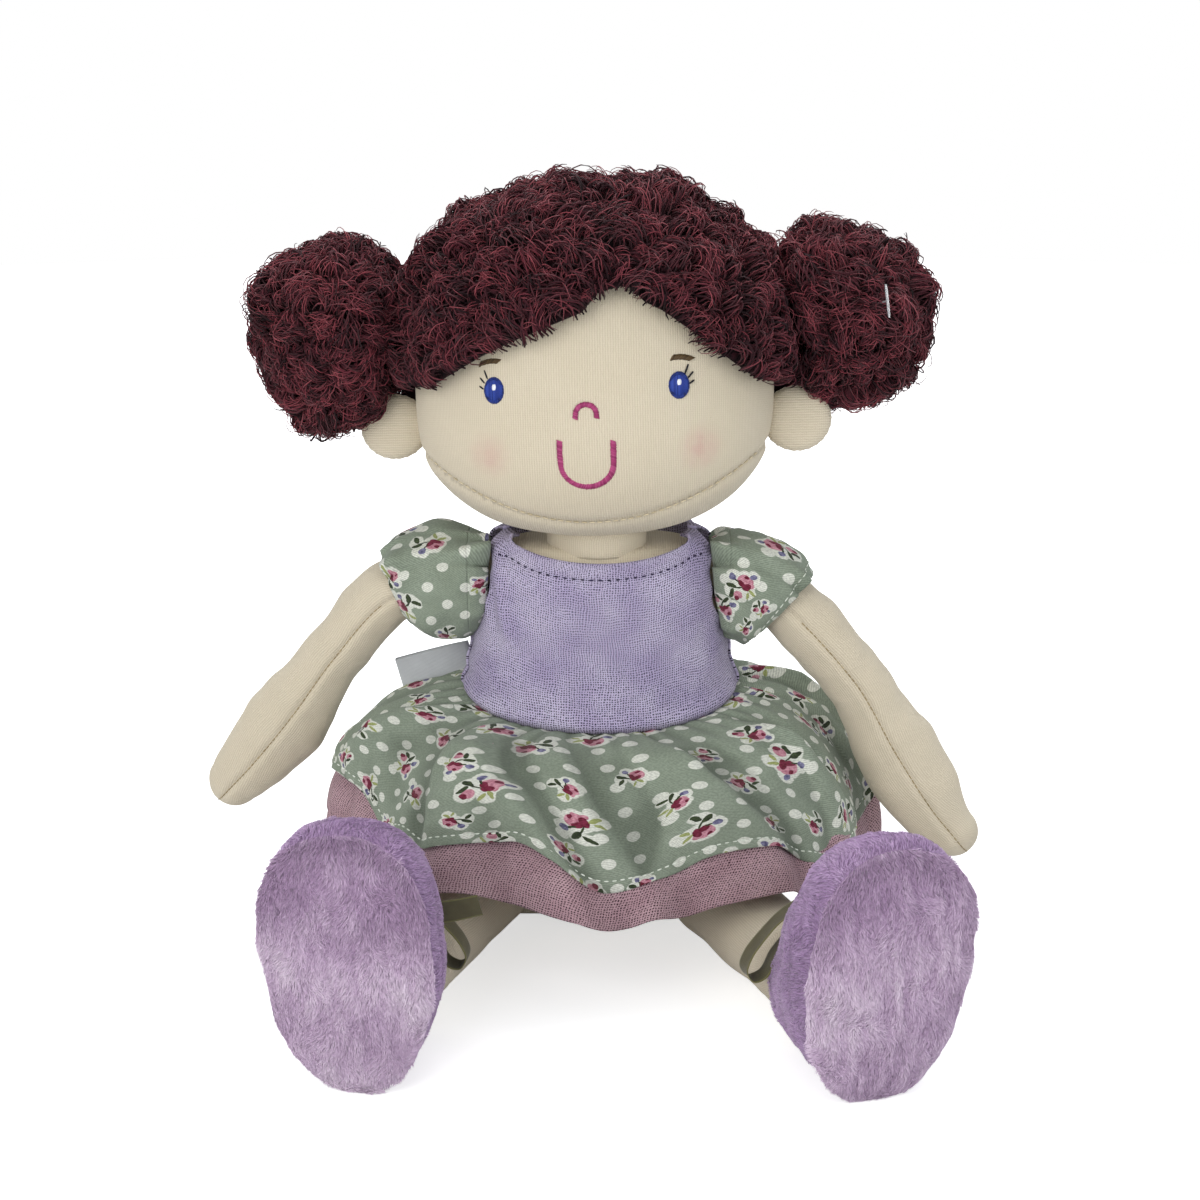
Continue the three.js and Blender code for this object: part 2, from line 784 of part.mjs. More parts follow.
function footRing(share, grow, count, lean) {
  const halfWidth = (footWidth / 2) * share.width + grow;
  const halfHeight = ((footLength + footFlat) / 2) * share.height + grow;
  const middle = -footFlat + (footLength + footFlat) * share.height / 2;
  return Array.from({ length: count }, (_, k) => {
    const angle = (k / count) * fullTurn;
    const taper = 1 + heelTaperShare * Math.sin(angle);
    const across = Math.sign(Math.cos(angle)) * Math.abs(Math.cos(angle)) ** (2 / footPower);
    const rise = Math.sign(Math.sin(angle)) * Math.abs(Math.sin(angle)) ** (2 / footPower);
    const upright = new THREE.Vector2(halfWidth * taper * across, middle + halfHeight * rise);
    upright.rotateAround(new THREE.Vector2(0, ankleHeight), -lean);
    return new THREE.Vector3(upright.x, share.depth * footDepth, Math.max(upright.y, 0));
  });
}

// Room for the ankle's round end, flared behind it for the foot to flex
function ankleRoom(leg) {
  const flare = Math.tan(footFlexAngle * degree);
  const facets = Math.cos(Math.PI / ballSides);
  const radius = (ankleRadius + 2 * clearance) / (Math.cos(footFlexAngle * degree) * facets);
  const profile = [];
  for (let k = 0; k < roundSteps; k += 1) {
    const turn = (k / (roundSteps - 1)) * quarterTurn;
    profile.push(new THREE.Vector2(radius * Math.sin(turn), radius * Math.cos(turn)));
  }
  profile[0].x = 0;
  profile.push(new THREE.Vector2(radius + footDepth * flare, -footDepth), new THREE.Vector2(0, -footDepth));
  const room = new THREE.LatheGeometry(profile.reverse(), ballSides);
  const along = leg.ankle.clone().sub(leg.pivot).normalize();
  const lean = new THREE.Quaternion().setFromUnitVectors(new THREE.Vector3(0, 1, 0), along);
  return room.applyQuaternion(lean).translate(leg.ankle.x, leg.ankle.y, leg.ankle.z);
}

// Sole outlines, by how far down the sole's thickness each lies
const soleShares = [
  { down: 0, width: 0.94, height: 0.97 },
  { down: 0.55, width: 0.96, height: 0.985 },
  { down: 1, width: 0.88, height: 0.93 },
];

function footPieces(side) {
  const leg = legs[side];
  const pose = poses[side];
  const lean = sides[side] * pose.footLeanAngle * degree;
  const place = new THREE.Matrix4().makeRotationZ(sides[side] * pose.toeOutAngle * degree);
  const forward = new THREE.Vector3(0, -anklePivotDepth, 0).applyMatrix4(place);
  place.setPosition(leg.ankle.x + forward.x, leg.ankle.y + forward.y, 0);
  const outer = footShares.map((share) => footRing(share, 0, footSides, lean));
  const inner = footShares.map((share) => footRing(share, -plush, footSides, lean));
  const upper = hoop([...outer, ...inner.reverse()]).applyMatrix4(place);
  const room = ankleRoom(leg);
  addPiece(`slipper_upper_${side}`, cut(upper, room), lilacPlush);
  const bed = footShares.map((share) => footRing(share, -plush - clearance, footSides / 2, lean));
  addPiece(`slipper_stuffing_${side}`, cut(loft(bed).applyMatrix4(place), room), filling);
  const soleRings = soleShares.map((share) => (
    footRing({ ...share, depth: 0 }, 0, footSides, lean).map((point) => (
      point.setY(-clearance - soleThickness * share.down)
    ))
  ));
  addPiece(`slipper_sole_${side}`, loft(soleRings).applyMatrix4(place), paleLilacPlush);
  addPiece(`bow_${side}`, bowForm().applyMatrix4(place), oliveRibbon);
}

// Bow behind the throat of the slipper: two loops, two tails and a knot
function bowForm() {
  const parts = [];
  for (const lean of [-1, 1]) {
    const middle = lean * bowReach / 2;
    const loop = ellipseOutline(middle, 0, bowReach, bowLoopHeight);
    const inset = 2 * ribbonThickness;
    loop.holes.push(ellipseOutline(middle, 0, bowReach - inset, bowLoopHeight - inset));
    parts.push(prism(loop, ribbonWidth).rotateX(quarterTurn).rotateY(lean * bowLoopAngle * degree));
    const tail = new THREE.BoxGeometry(bowTail, ribbonWidth, ribbonThickness);
    tail.translate(lean * bowTail / 2, -ribbonWidth / 2, 0);
    parts.push(tail.rotateY(lean * bowTailAngle * degree));
  }
  const knot = new THREE.BoxGeometry(ribbonWidth, ribbonWidth, ribbonWidth * knotShare);
  parts.push(knot.translate(0, -ribbonWidth / 2, 0));
  return join(...parts).translate(0, footDepth + ribbonWidth + clearance, bowLift);
}

// Dress: a gauze bodice close on the body, cut for the neck and the arms
function seamHeight(angle) {
  return THREE.MathUtils.lerp(seamFrontHeight, seamBackHeight, (1 + Math.sin(angle)) / 2);
}

const bodiceShares = [0, 0.25, 0.5, 0.72, 0.88, 1];
function bodiceRings(grow) {
  return bodiceShares.map((share) => Array.from({ length: bodySides }, (_, k) => {
    const angle = (k / bodySides) * fullTurn;
    const level = torsoAt(THREE.MathUtils.lerp(seamHeight(angle), torsoHeight, share));
    const across = (level.x + grow) * Math.cos(angle);
    return new THREE.Vector3(across, (level.y + grow) * Math.sin(angle), level.z);
  }));
}

function necklineForm(lowest, from, to) {
  const top = torsoHeight + overrun;
  const outline = ellipseOutline(0, top, 2 * necklineHalfWidth, 2 * (top - lowest));
  return prism(outline, to - from).rotateX(quarterTurn).translate(0, to, 0);
}

function bodicePieces() {
  const whole = hoop([...bodiceRings(bodiceGap + cotton), ...bodiceRings(bodiceGap).reverse()]);
  const armholes = [arms.right, arms.left].map((arm) => hollowBall(arm.pivot, armRootReach));
  const wide = hipHalfWidth + overrun;
  const lastDepth = hipHalfDepth + overrun;
  const top = torsoHeight + overrun;
  const back = block(new THREE.Vector3(-wide, -clearance / 2, 0), new THREE.Vector3(wide, lastDepth, top));
  const front = block(new THREE.Vector3(-wide, -lastDepth, 0), new THREE.Vector3(wide, clearance / 2, top));
  const frontNeck = necklineForm(necklineFront, -lastDepth, 0);
  const backNeck = necklineForm(necklineBack, 0, lastDepth);
  addPiece('bodice_front', cut(whole, back, frontNeck, ...armholes), lavenderGauze);
  addPiece('bodice_back', cut(whole, front, backNeck, ...armholes), lavenderGauze);
}

// Puffed sleeve: from the side of the bodice, out round, and in to a hem on the arm
const sleeveRootHeight = shoulderPivotHeight - sleeveRootDrop;
const sleeveShares = [[0.28, 0.94], [0.52, 1], [0.8, 0.93], [1, 0]];
function sleeveRings(side, grow) {
  const arm = arms[side];
  const hemCentre = arm.route.getPointAt(arm.hemShare);
  const hemTangent = arm.route.getTangentAt(arm.hemShare);
  const rings = [sleeveRoot(side, grow)];
  for (const [share, fullness] of sleeveShares) {
    const radius = THREE.MathUtils.lerp(sleeveHemRadius, sleevePuffRadius, fullness) + grow;
    const start = new THREE.Vector3(sides[side] * shoulderHalfWidth, 0, sleeveRootHeight);
    const centre = start.clone().lerp(hemCentre, share);
    centre.z += (sleeveRootHeight - hemCentre.z) * sleeveLiftShare * Math.sin(share * Math.PI);
    const normal = new THREE.Vector3(sides[side], 0, 0).lerp(hemTangent, share ** 2).normalize();
    const deep = new THREE.Vector3(0, 1, 0).addScaledVector(normal, -normal.y).normalize();
    const high = new THREE.Vector3().crossVectors(normal, deep).multiplyScalar(sides[side]);
    rings.push(Array.from({ length: sleeveSides }, (_, k) => {
      const angle = (k / sleeveSides) * fullTurn;
      return centre.clone()
        .addScaledVector(deep, radius * Math.cos(angle))
        .addScaledVector(high, radius * Math.sin(angle));
    }));
  }
  return rings;
}

function sleeveRoot(side, grow) {
  return Array.from({ length: sleeveSides }, (_, k) => {
    const angle = (k / sleeveSides) * fullTurn;
    const y = (sleeveRootHalfDepth + grow) * Math.cos(angle);
    const z = sleeveRootHeight + (sleeveRootHalfHeight + grow) * Math.sin(angle);
    const level = torsoAt(z);
    const offset = cotton + sleeveGap;
    const x = (level.x + offset) * Math.sqrt(1 - (y / (level.y + offset)) ** 2);
    return new THREE.Vector3(sides[side] * x, y, z);
  });
}

function sleevePiece(side) {
  const rings = [...sleeveRings(side, 0), ...sleeveRings(side, -cotton).reverse()];
  addPiece(`sleeve_${side}`, hoop(rings), sageCotton);
}

// Skirt and petticoat: one falling surface from the waist seam to the hem.
// The hem gives shares of the skirt's half width and of its depth, back positive, and a height.
const hemBehindHeight = (hemSideHeight + hemBackHeight) / 2;
const leftHemShares = [
  [0.6, -0.86, hemOverLegHeight],
  [0.95, -0.4, hemOverLegHeight],
  [1, 0.1, hemSideHeight],
  [0.72, 0.74, hemBehindHeight],
];
const rightHemShares = leftHemShares.map(([across, depth, height]) => [-across, depth, height]).reverse();
const hemShares = [[0, -1, hemFrontHeight], ...leftHemShares, [0, 1, hemBackHeight], ...rightHemShares];
const hemLine = new THREE.CatmullRomCurve3(hemShares.map(([across, depth, height]) => (
  new THREE.Vector3(across * skirtSide, depth * (depth < 0 ? skirtFront : skirtBack), height)
)), true);
const skirtDropShares = [0, 0.4, 0.75, 1];
const nudge = 1e-3;

function skirtSurface(round, drop) {
  const hem = hemLine.getPoint(((round % 1) + 1) % 1);
  const angle = Math.atan2(hem.y / skirtBack, hem.x / skirtSide);
  const seam = seamHeight(angle) - clearance;
  const level = torsoAt(seam);
  const waist = new THREE.Vector3(
    (level.x + skirtGap) * Math.cos(angle),
    (level.y + skirtGap) * Math.sin(angle),
    seam,
  );
  const out = THREE.MathUtils.lerp(drop, Math.sin(drop * quarterTurn), skirtRoundShare);
  const down = 1 - Math.cos(drop * quarterTurn);
  const fold = foldHeight * Math.min(drop, 1) * Math.cos(foldCount * fullTurn * round);
  const away = new THREE.Vector3(hem.x - waist.x, hem.y - waist.y, 0).normalize();
  return new THREE.Vector3(
    THREE.MathUtils.lerp(waist.x, hem.x, out),
    THREE.MathUtils.lerp(waist.y, hem.y, out),
    THREE.MathUtils.lerp(waist.z, hem.z, down),
  ).addScaledVector(away, fold);
}

function skirtRing(drop, depth) {
  return Array.from({ length: skirtSteps }, (_, k) => {
    const round = k / skirtSteps;
    const point = skirtSurface(round, drop);
    const around = skirtSurface(round + nudge, drop).sub(skirtSurface(round - nudge, drop));
    const falling = skirtSurface(round, drop + nudge).sub(skirtSurface(round, Math.max(drop - nudge, 0)));
    const normal = new THREE.Vector3().crossVectors(falling, around).normalize();
    return point.addScaledVector(normal, -depth);
  });
}

function fallingCloth(drops, depth) {
  const outer = drops.map((drop) => skirtRing(drop, depth));
  const inner = drops.map((drop) => skirtRing(drop, depth + cotton));
  return hoop([...outer, ...inner.reverse()]);
}

function skirtPieces() {
  addPiece('skirt', fallingCloth(skirtDropShares, 0), sageCotton);
  const longer = [...skirtDropShares.slice(0, -1), 1 + petticoatDropShare];
  addPiece('petticoat', fallingCloth(longer, cotton + skirtGap), mauveGauze);
}

// Care label: a folded loop of satin standing out of the side seam
function labelPiece() {
  const leaf = 3 * labelThickness;
  const loop = new THREE.Shape();
  loop.moveTo(0, -leaf);
  loop.lineTo(labelLength, -leaf);
  loop.absarc(labelLength, 0, leaf, -quarterTurn, quarterTurn, false);
  loop.lineTo(0, leaf);
  const inner = leaf - labelThickness;
  const gap = new THREE.Path();
  gap.moveTo(leaf, -inner);
  gap.lineTo(labelLength, -inner);
  gap.absarc(labelLength, 0, inner, -quarterTurn, quarterTurn, false);
  gap.lineTo(leaf, inner);
  loop.holes.push(gap);
  const label = prism(loop, labelWidth);
  label.rotateY(labelAngle * degree);
  label.rotateZ(Math.PI);
  const seam = torsoAt(labelRise);
  const offset = cotton + bodiceGap;
  const round = Math.sqrt(1 - ((labelBack - leaf) / (seam.y + offset)) ** 2);
  label.translate(-(seam.x + offset) * round - clearance, labelBack, labelRise);
  addPiece('care_label', shapeOf(solid(label)), labelSatin);
}

// A tag barb left in the hair: a thin stem in the bun and a bar across its end
const barbFootShares = new THREE.Vector3(0.28, -0.84, 0.21);
const barbDirection = new THREE.Vector3(0.45, -0.85, 0.25).normalize();
const barbLean = new THREE.Quaternion().setFromUnitVectors(new THREE.Vector3(0, 1, 0), barbDirection);
const barbFoot = new THREE.Vector3(bunHalfWidth, bunHalfDepth, bunHalfHeight)
  .multiply(barbFootShares)
  .add(bunCentre(barbSide));
const barbPlace = new THREE.Matrix4().makeRotationFromQuaternion(barbLean).setPosition(barbFoot);

function barbRod(radius, length) {
  return new THREE.CylinderGeometry(radius, radius, length, barbSides);
}

function barbStemForm(grow) {
  return barbRod(barbThickness / 2 + grow, 2 * (barbStem + grow)).applyMatrix4(barbPlace);
}

function barbPiece() {
  const bar = barbRod(barbThickness / 2, barbLength).rotateX(quarterTurn).translate(0, barbStem, 0);
  addPiece('tag_barb', join(barbStemForm(0), bar.applyMatrix4(barbPlace)), clearPlastic);
}

torsoPieces();
neckPiece();
headPieces();
hairCap();
facePieces();
bodicePieces();
skirtPieces();
labelPiece();
barbPiece();
for (const side of Object.keys(sides)) {
  earPiece(side);
  bunPiece(side);
  armPieces(side);
  sleevePiece(side);
  legPieces(side);
  footPieces(side);
}

export default doll;
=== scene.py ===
import math

import bmesh
import bpy
import numpy as np
from mathutils import Euler, Matrix, Vector


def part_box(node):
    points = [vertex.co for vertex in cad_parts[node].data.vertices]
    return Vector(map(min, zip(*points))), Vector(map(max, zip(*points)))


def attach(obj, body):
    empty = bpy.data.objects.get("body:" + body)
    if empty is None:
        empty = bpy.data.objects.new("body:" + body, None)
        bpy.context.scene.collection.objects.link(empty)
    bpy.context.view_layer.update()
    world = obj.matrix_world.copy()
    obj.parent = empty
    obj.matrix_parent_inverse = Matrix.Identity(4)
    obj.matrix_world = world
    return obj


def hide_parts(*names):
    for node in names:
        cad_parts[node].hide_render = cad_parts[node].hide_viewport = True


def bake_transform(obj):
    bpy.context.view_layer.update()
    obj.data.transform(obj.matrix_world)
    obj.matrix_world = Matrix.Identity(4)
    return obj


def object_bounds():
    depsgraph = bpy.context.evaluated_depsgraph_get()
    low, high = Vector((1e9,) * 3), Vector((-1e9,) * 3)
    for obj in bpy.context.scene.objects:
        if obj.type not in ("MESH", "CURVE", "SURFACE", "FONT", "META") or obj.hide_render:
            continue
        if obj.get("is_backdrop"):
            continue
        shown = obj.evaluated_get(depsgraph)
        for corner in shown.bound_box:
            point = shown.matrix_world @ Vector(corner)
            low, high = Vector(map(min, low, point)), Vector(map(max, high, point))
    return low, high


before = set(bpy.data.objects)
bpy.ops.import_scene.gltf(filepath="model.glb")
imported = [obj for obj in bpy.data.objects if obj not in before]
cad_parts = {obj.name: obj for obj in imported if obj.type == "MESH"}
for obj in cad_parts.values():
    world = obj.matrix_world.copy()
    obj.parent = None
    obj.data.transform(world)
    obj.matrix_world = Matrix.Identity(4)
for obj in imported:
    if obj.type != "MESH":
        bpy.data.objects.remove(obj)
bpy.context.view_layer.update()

scene = bpy.context.scene
mm = 0.001

# Camera, lights and surroundings. The doll is seen from the front and a little above, in soft even daylight
# from large panels, on a plain pale floor that keeps its soft shadow near the doll and, further out, glows
# white to the camera as painted light.
def rgba(code):
    """A colour written as six hex digits, as the linear values that a shader takes."""
    shares = [int(code[k : k + 2], 16) / 255 for k in (0, 2, 4)]
    return tuple(c / 12.92 if c <= 0.04045 else ((c + 0.055) / 1.055) ** 2.4 for c in shares) + (1.0,)


class Nodes:
    """A node tree: each call adds one node, and gives its inputs values, hex colours or links."""

    def __init__(self, tree):
        self.tree = tree

    def give(self, node, inputs):
        for key, value in inputs.items():
            if isinstance(value, bpy.types.NodeSocket):
                self.tree.links.new(value, node.inputs[key])
            else:
                node.inputs[key].default_value = rgba(value) if isinstance(value, str) else value

    def add(self, kind, inputs=None, **settings):
        node = self.tree.nodes.new("ShaderNode" + kind)
        for key, value in settings.items():
            setattr(node, key, value)
        self.give(node, inputs or {})
        return node

    def math(self, operation, *values):
        return self.add("Math", dict(enumerate(values)), operation=operation).outputs[0]

    def plus(self, first, second):
        return self.math("ADD", first, second)

    def times(self, first, second):
        return self.math("MULTIPLY", first, second)

    def waves(self, value, length):
        return self.math("SINE", self.times(value, 2 * math.pi / length))

    def vector(self, operation, *values):
        return self.add("VectorMath", dict(enumerate(values)), operation=operation).outputs[0]

    def far(self, place, middle=(0, 0, 0)):
        return self.add("VectorMath", {0: place, 1: middle}, operation="DISTANCE").outputs["Value"]

    def mix(self, factor, first, second, blend="MIX"):
        inputs = {0: factor, 6: first, 7: second}
        return self.add("Mix", inputs, data_type="RGBA", blend_type=blend).outputs[2]

    def ranged(self, value, low, high, to_low=0.0, to_high=1.0):
        inputs = {0: value, 1: low, 2: high, 3: to_low, 4: to_high}
        return self.add("MapRange", inputs, interpolation_type="SMOOTHSTEP").outputs[0]

    def noise(self, place, scale, detail=2.0, roughness=0.5, output="Fac"):
        inputs = {"Vector": place, "Scale": scale, "Detail": detail, "Roughness": roughness}
        return self.add("TexNoise", inputs).outputs[output]

    def split(self, place):
        return self.add("SeparateXYZ", {0: place}).outputs

    def object_place(self):
        return self.add("TexCoord").outputs["Object"]

    def cloth_place(self):
        return self.add("UVMap", uv_map="cloth").outputs[0]


class Shader(Nodes):
    """A new material: a principled shader, and the nodes that lead to it."""

    def __init__(self, name, roughness, sheen=0.0, shine=0.25):
        self.material = bpy.data.materials.new(name)
        self.material.use_nodes = True
        super().__init__(self.material.node_tree)
        self.principled = self.tree.nodes["Principled BSDF"]
        self.finish({"Roughness": roughness, "Specular IOR Level": shine})
        self.finish({"Sheen Weight": sheen, "Sheen Roughness": 0.5})

    def finish(self, inputs):
        self.give(self.principled, inputs)

    def colour(self, value):
        self.finish({"Base Color": value})

    def bump(self, height, distance, strength=1.0):
        inputs = {"Strength": strength, "Distance": distance, "Height": height}
        self.finish({"Normal": self.add("Bump", inputs).outputs[0]})


def aimed(name, data, place, height):
    """A new camera or light at a place, turned to a height above the middle of the floor."""
    held = bpy.data.objects.new(name, data)
    held.location = place
    held.rotation_euler = (Vector((0, 0, height)) - held.location).to_track_quat("-Z", "Y").to_euler()
    scene.collection.objects.link(held)
    return held


def round_turns(count):
    return np.linspace(0, 2 * math.pi, count, endpoint=False)


camera_data = bpy.data.cameras.new("camera")
camera_data.sensor_width = 36
camera_data.lens = 68.4
scene.camera = aimed("camera", camera_data, (0, -0.7727, 0.3321), 0.125)
scene.view_settings.view_transform = "Standard"

for name, place, size, energy, colour in (
    ("key", (-0.55, -0.88, 0.58), 0.8, 6.3, (1.0, 0.985, 0.965)),
    ("fill", (0.75, -0.8, 0.36), 0.8, 2.8, (0.98, 0.99, 1.0)),
    ("top", (0.1, 0.3, 0.95), 0.6, 3.6, (1.0, 1.0, 1.0)),
):
    lamp = bpy.data.lights.new(name, "AREA")
    lamp.size = size
    lamp.energy = energy
    lamp.color = colour
    aimed(name, lamp, place, 0.13)

world = bpy.data.worlds.new("white")
world.use_nodes = True
world.node_tree.nodes.clear()
scene.world = world
sky = Nodes(world.node_tree)
ambient = sky.add("Background", {"Color": (0.93, 0.96, 1.0, 1), "Strength": 0.58}).outputs[0]
backdrop = sky.add("Background", {"Color": (1, 1, 1, 1)}).outputs[0]
seen = sky.add("LightPath").outputs
direct = seen["Is Camera Ray"]
for kind in ("Is Glossy Ray", "Is Transmission Ray"):
    direct = sky.math("MAXIMUM", direct, seen[kind])
choose = sky.add("MixShader", {0: direct, 1: ambient, 2: backdrop}).outputs[0]
sky.add("OutputWorld", {"Surface": choose})

floor_radius = 2.2
floor_drop = 0.4 * mm
floor_near = 0.16
floor_far = 0.5
floor_turns = round_turns(48)
floor_ring = [(floor_radius * math.cos(k), floor_radius * math.sin(k), -floor_drop) for k in floor_turns]
floor_mesh = bpy.data.meshes.new("floor")
floor_mesh.from_pydata(floor_ring, [], [list(range(len(floor_ring)))])
floor = bpy.data.objects.new("floor", floor_mesh)
scene.collection.objects.link(floor)
paper = Shader("white_floor", 0.9, shine=0.5)
paper.colour((0.86, 0.86, 0.86, 1))
# Painted light: the floor glows to camera rays only, less within a small circle round the doll, so it shows
# white while a soft shadow stays under the doll.
floor_glow = paper.ranged(paper.far(paper.object_place()), floor_near, floor_far, 0.62, 1.0)
paper_seen = paper.add("LightPath").outputs["Is Camera Ray"]
paper.finish({"Emission Color": (1, 1, 1, 1), "Emission Strength": paper.times(paper_seen, floor_glow)})
floor_mesh.materials.append(paper.material)
floor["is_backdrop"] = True


# Torso: a firmly stuffed body of cream cotton jersey, closed at the neck and flat where it sits.
# It shows only below the petticoat and at the neckline, and takes its shape from its CAD solids.
def jersey_material(name, on_cloth, blushes=()):
    """Cream cotton jersey: fine wales a little under a millimetre apart, unbleached flecks, soft fuzz."""
    wale_width = 0.82 * mm
    row_height = 0.72 * mm
    shader = Shader(name, 0.92, sheen=0.18)
    place = shader.cloth_place() if on_cloth else shader.object_place()
    split = shader.split(place)
    across = shader.plus(split[0], shader.times(shader.noise(place, 900), 0.25 * mm))
    wale = shader.waves(across, wale_width)
    lift = shader.times(shader.math("ABSOLUTE", wale), 0.4 * mm)
    row = shader.waves(shader.plus(split[1 if on_cloth else 2], lift), row_height)
    knit = shader.plus(shader.times(wale, 0.65), shader.times(row, 0.35))
    tone = shader.plus(0.45, shader.times(shader.ranged(knit, -1.0, 1.0), 0.55))
    flecks = shader.ranged(shader.noise(place, 520, 3, 0.7), 0.66, 0.76)
    base = shader.mix(shader.noise(place, 45, 4), "d4c9b2", "e0d6c1")
    base = shader.mix(tone, "b9ab90", base)
    base = shader.mix(shader.times(flecks, 0.35), base, "a8946c")
    for spot, reach, depth in blushes:
        fade = shader.ranged(shader.far(shader.object_place(), spot), 0.0, reach, depth, 0.0)
        patches = shader.ranged(shader.noise(place, 260, 3), 0.3, 0.7, 0.55, 1.0)
        base = shader.mix(shader.times(fade, patches), base, "c87f86")
    shader.colour(base)
    shader.bump(knit, 0.12 * mm, 0.8)
    return shader.material


torso_solids = bmesh.new()
for node in ("torso_cover", "torso_stuffing"):
    torso_solids.from_mesh(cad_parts[node].data)
torso_mesh = bpy.data.meshes.new("torso_body")
torso_solids.to_mesh(torso_mesh)
torso_solids.free()
torso = bpy.data.objects.new("torso_body", torso_mesh)
scene.collection.objects.link(torso)
union = torso.modifiers.new("union", "REMESH")
union.mode = "VOXEL"
union.voxel_size = 1.6 * mm
union.use_smooth_shade = True
soften = torso.modifiers.new("soften", "SMOOTH")
soften.factor = 0.5
soften.iterations = 5
bpy.context.view_layer.update()
shaped = bpy.data.meshes.new_from_object(torso.evaluated_get(bpy.context.evaluated_depsgraph_get()))
torso.modifiers.clear()
torso.data = shaped
lap_edge = 17 * mm
lap_reach = 28 * mm
lap_rise = 16 * mm
lap_top = 40 * mm
collar_foot = 140 * mm
collar_reach = 10 * mm
collar_narrowing = 0.09
collar_drop = 2.6 * mm
for point in shaped.vertices:
    if point.co.y < lap_edge:
        lifted = lap_rise * min((lap_edge - point.co.y) / lap_reach, 1.4) ** 1.3
        point.co.z += lifted * max(1 - point.co.z / lap_top, 0)
    high_share = max((point.co.z - collar_foot) / collar_reach, 0)
    point.co.x *= 1 - collar_narrowing * high_share**2
    point.co.y *= 1 - collar_narrowing * high_share**2
    point.co.z -= collar_drop * high_share
shaped.shade_smooth()
torso.data.materials.clear()
torso.data.materials.append(jersey_material("cream_jersey_body", False))
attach(torso, "torso")
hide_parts("torso_cover", "torso_stuffing")


# Neck: a short stuffed post of jersey between the neckline and the chin, sewn to the underside
# of the head, where it swells a little and shows fine creases round it.
def unit(vectors, least=0.0):
    """Vectors scaled to a length of one."""
    return vectors / (np.linalg.norm(vectors, axis=-1, keepdims=True) + least)


def run_along(line):
    """How far along a line each of its points lies."""
    return np.concatenate([[0], np.cumsum(np.linalg.norm(np.diff(line, axis=0), axis=1))])


def read_along(at, run, rows):
    """Rows of values read at places along their run."""
    return np.stack([np.interp(at, run, rows[:, k]) for k in range(rows.shape[1])], -1)


def joined_round(grid):
    """Rows of points with each row's first point again at its end."""
    return np.concatenate([grid, grid[:, :1]], 1)


def add_mesh(name, points, face_sets, material, uv=None, uv_name="cloth"):
    """A smooth mesh from points and arrays of faces; uv holds one place for each face corner."""
    points = np.asarray(points, np.float32).reshape(-1, 3)
    corners = np.concatenate([faces.ravel() for faces in face_sets]).astype(np.int32)
    sizes = np.concatenate([np.full(len(faces), faces.shape[1]) for faces in face_sets])
    mesh = bpy.data.meshes.new(name)
    mesh.vertices.add(len(points))
    mesh.vertices.foreach_set("co", points.ravel())
    mesh.loops.add(len(corners))
    mesh.loops.foreach_set("vertex_index", corners)
    mesh.polygons.add(len(sizes))
    mesh.polygons.foreach_set("loop_start", np.concatenate([[0], np.cumsum(sizes)[:-1]]).astype(np.int32))
    mesh.update(calc_edges=True)
    if uv is not None:
        layer = mesh.uv_layers.new(name=uv_name)
        layer.uv.foreach_set("vector", np.asarray(uv, np.float32).ravel())
    mesh.shade_smooth()
    mesh.materials.append(material)
    piece = bpy.data.objects.new(name, mesh)
    scene.collection.objects.link(piece)
    return piece


def surface(name, grid, material, wrap=False, flat=None, first=None, last=None):
    """A surface through rows of points, closed round each row if wrap, with a pole at either end.
    flat gives each point's place on the cloth in metres; left out, it is measured along the rows."""
    rows, columns = grid.shape[:2]
    closed = joined_round(grid) if wrap else grid
    wide = closed.shape[1]
    if flat is None:
        steps = np.linalg.norm(np.diff(closed, axis=1), axis=2)
        across = np.concatenate([np.zeros((rows, 1)), np.cumsum(steps, 1)], 1)
        across -= across[:, -1:] / 2
        drops = np.linalg.norm(np.diff(closed, axis=0), axis=2).mean(1)
        along = np.concatenate([[0], np.cumsum(drops)])
        flat = np.stack([across, np.repeat(along[:, None], wide, 1)], 2)
    places = np.meshgrid(np.arange(rows - 1), np.arange(wide - 1), indexing="ij")
    i, j = (part.ravel() for part in places)
    corners = [(i, j), (i, j + 1), (i + 1, j + 1), (i + 1, j)]
    faces = [np.stack([r * columns + c % columns for r, c in corners], 1)]
    uv = [np.stack([flat[r, c] for r, c in corners], 1).reshape(-1, 2)]
    points = grid.reshape(-1, 3)
    ring = np.arange(wide - 1)
    for pole, row, order in ((first, 0, 1), (last, rows - 1, -1)):
        if pole is None:
            continue
        sides = [row * columns + (ring + 1) % columns, row * columns + ring][::order]
        faces.append(np.stack([np.full(len(ring), len(points)), *sides], 1))
        middle = flat[row].mean(0)
        ends = [flat[row, ring + 1], flat[row, ring]][::order]
        uv.append(np.stack([np.tile(middle, (len(ring), 1)), *ends], 1).reshape(-1, 2))
        points = np.vstack([points, np.asarray(pole, float)[None]])
    return add_mesh(name, points, faces, material, np.concatenate(uv))


def ripple(points, size, seed, waves=28):
    """Smooth seeded noise from about -1 to 1, with bumps about size metres across."""
    dice = np.random.default_rng(seed)
    ways = unit(dice.normal(size=(waves, 3)))
    ways *= (dice.uniform(0.55, 1.5, waves) * math.pi / size)[:, None]
    phases = dice.uniform(0, 2 * math.pi, waves)
    return np.cos(points @ ways.T + phases).sum(-1) / math.sqrt(waves)


def bell(x, width):
    """A smooth bump of 1 at the middle, which fades out over about this width."""
    return np.exp(-((x / width) ** 2))


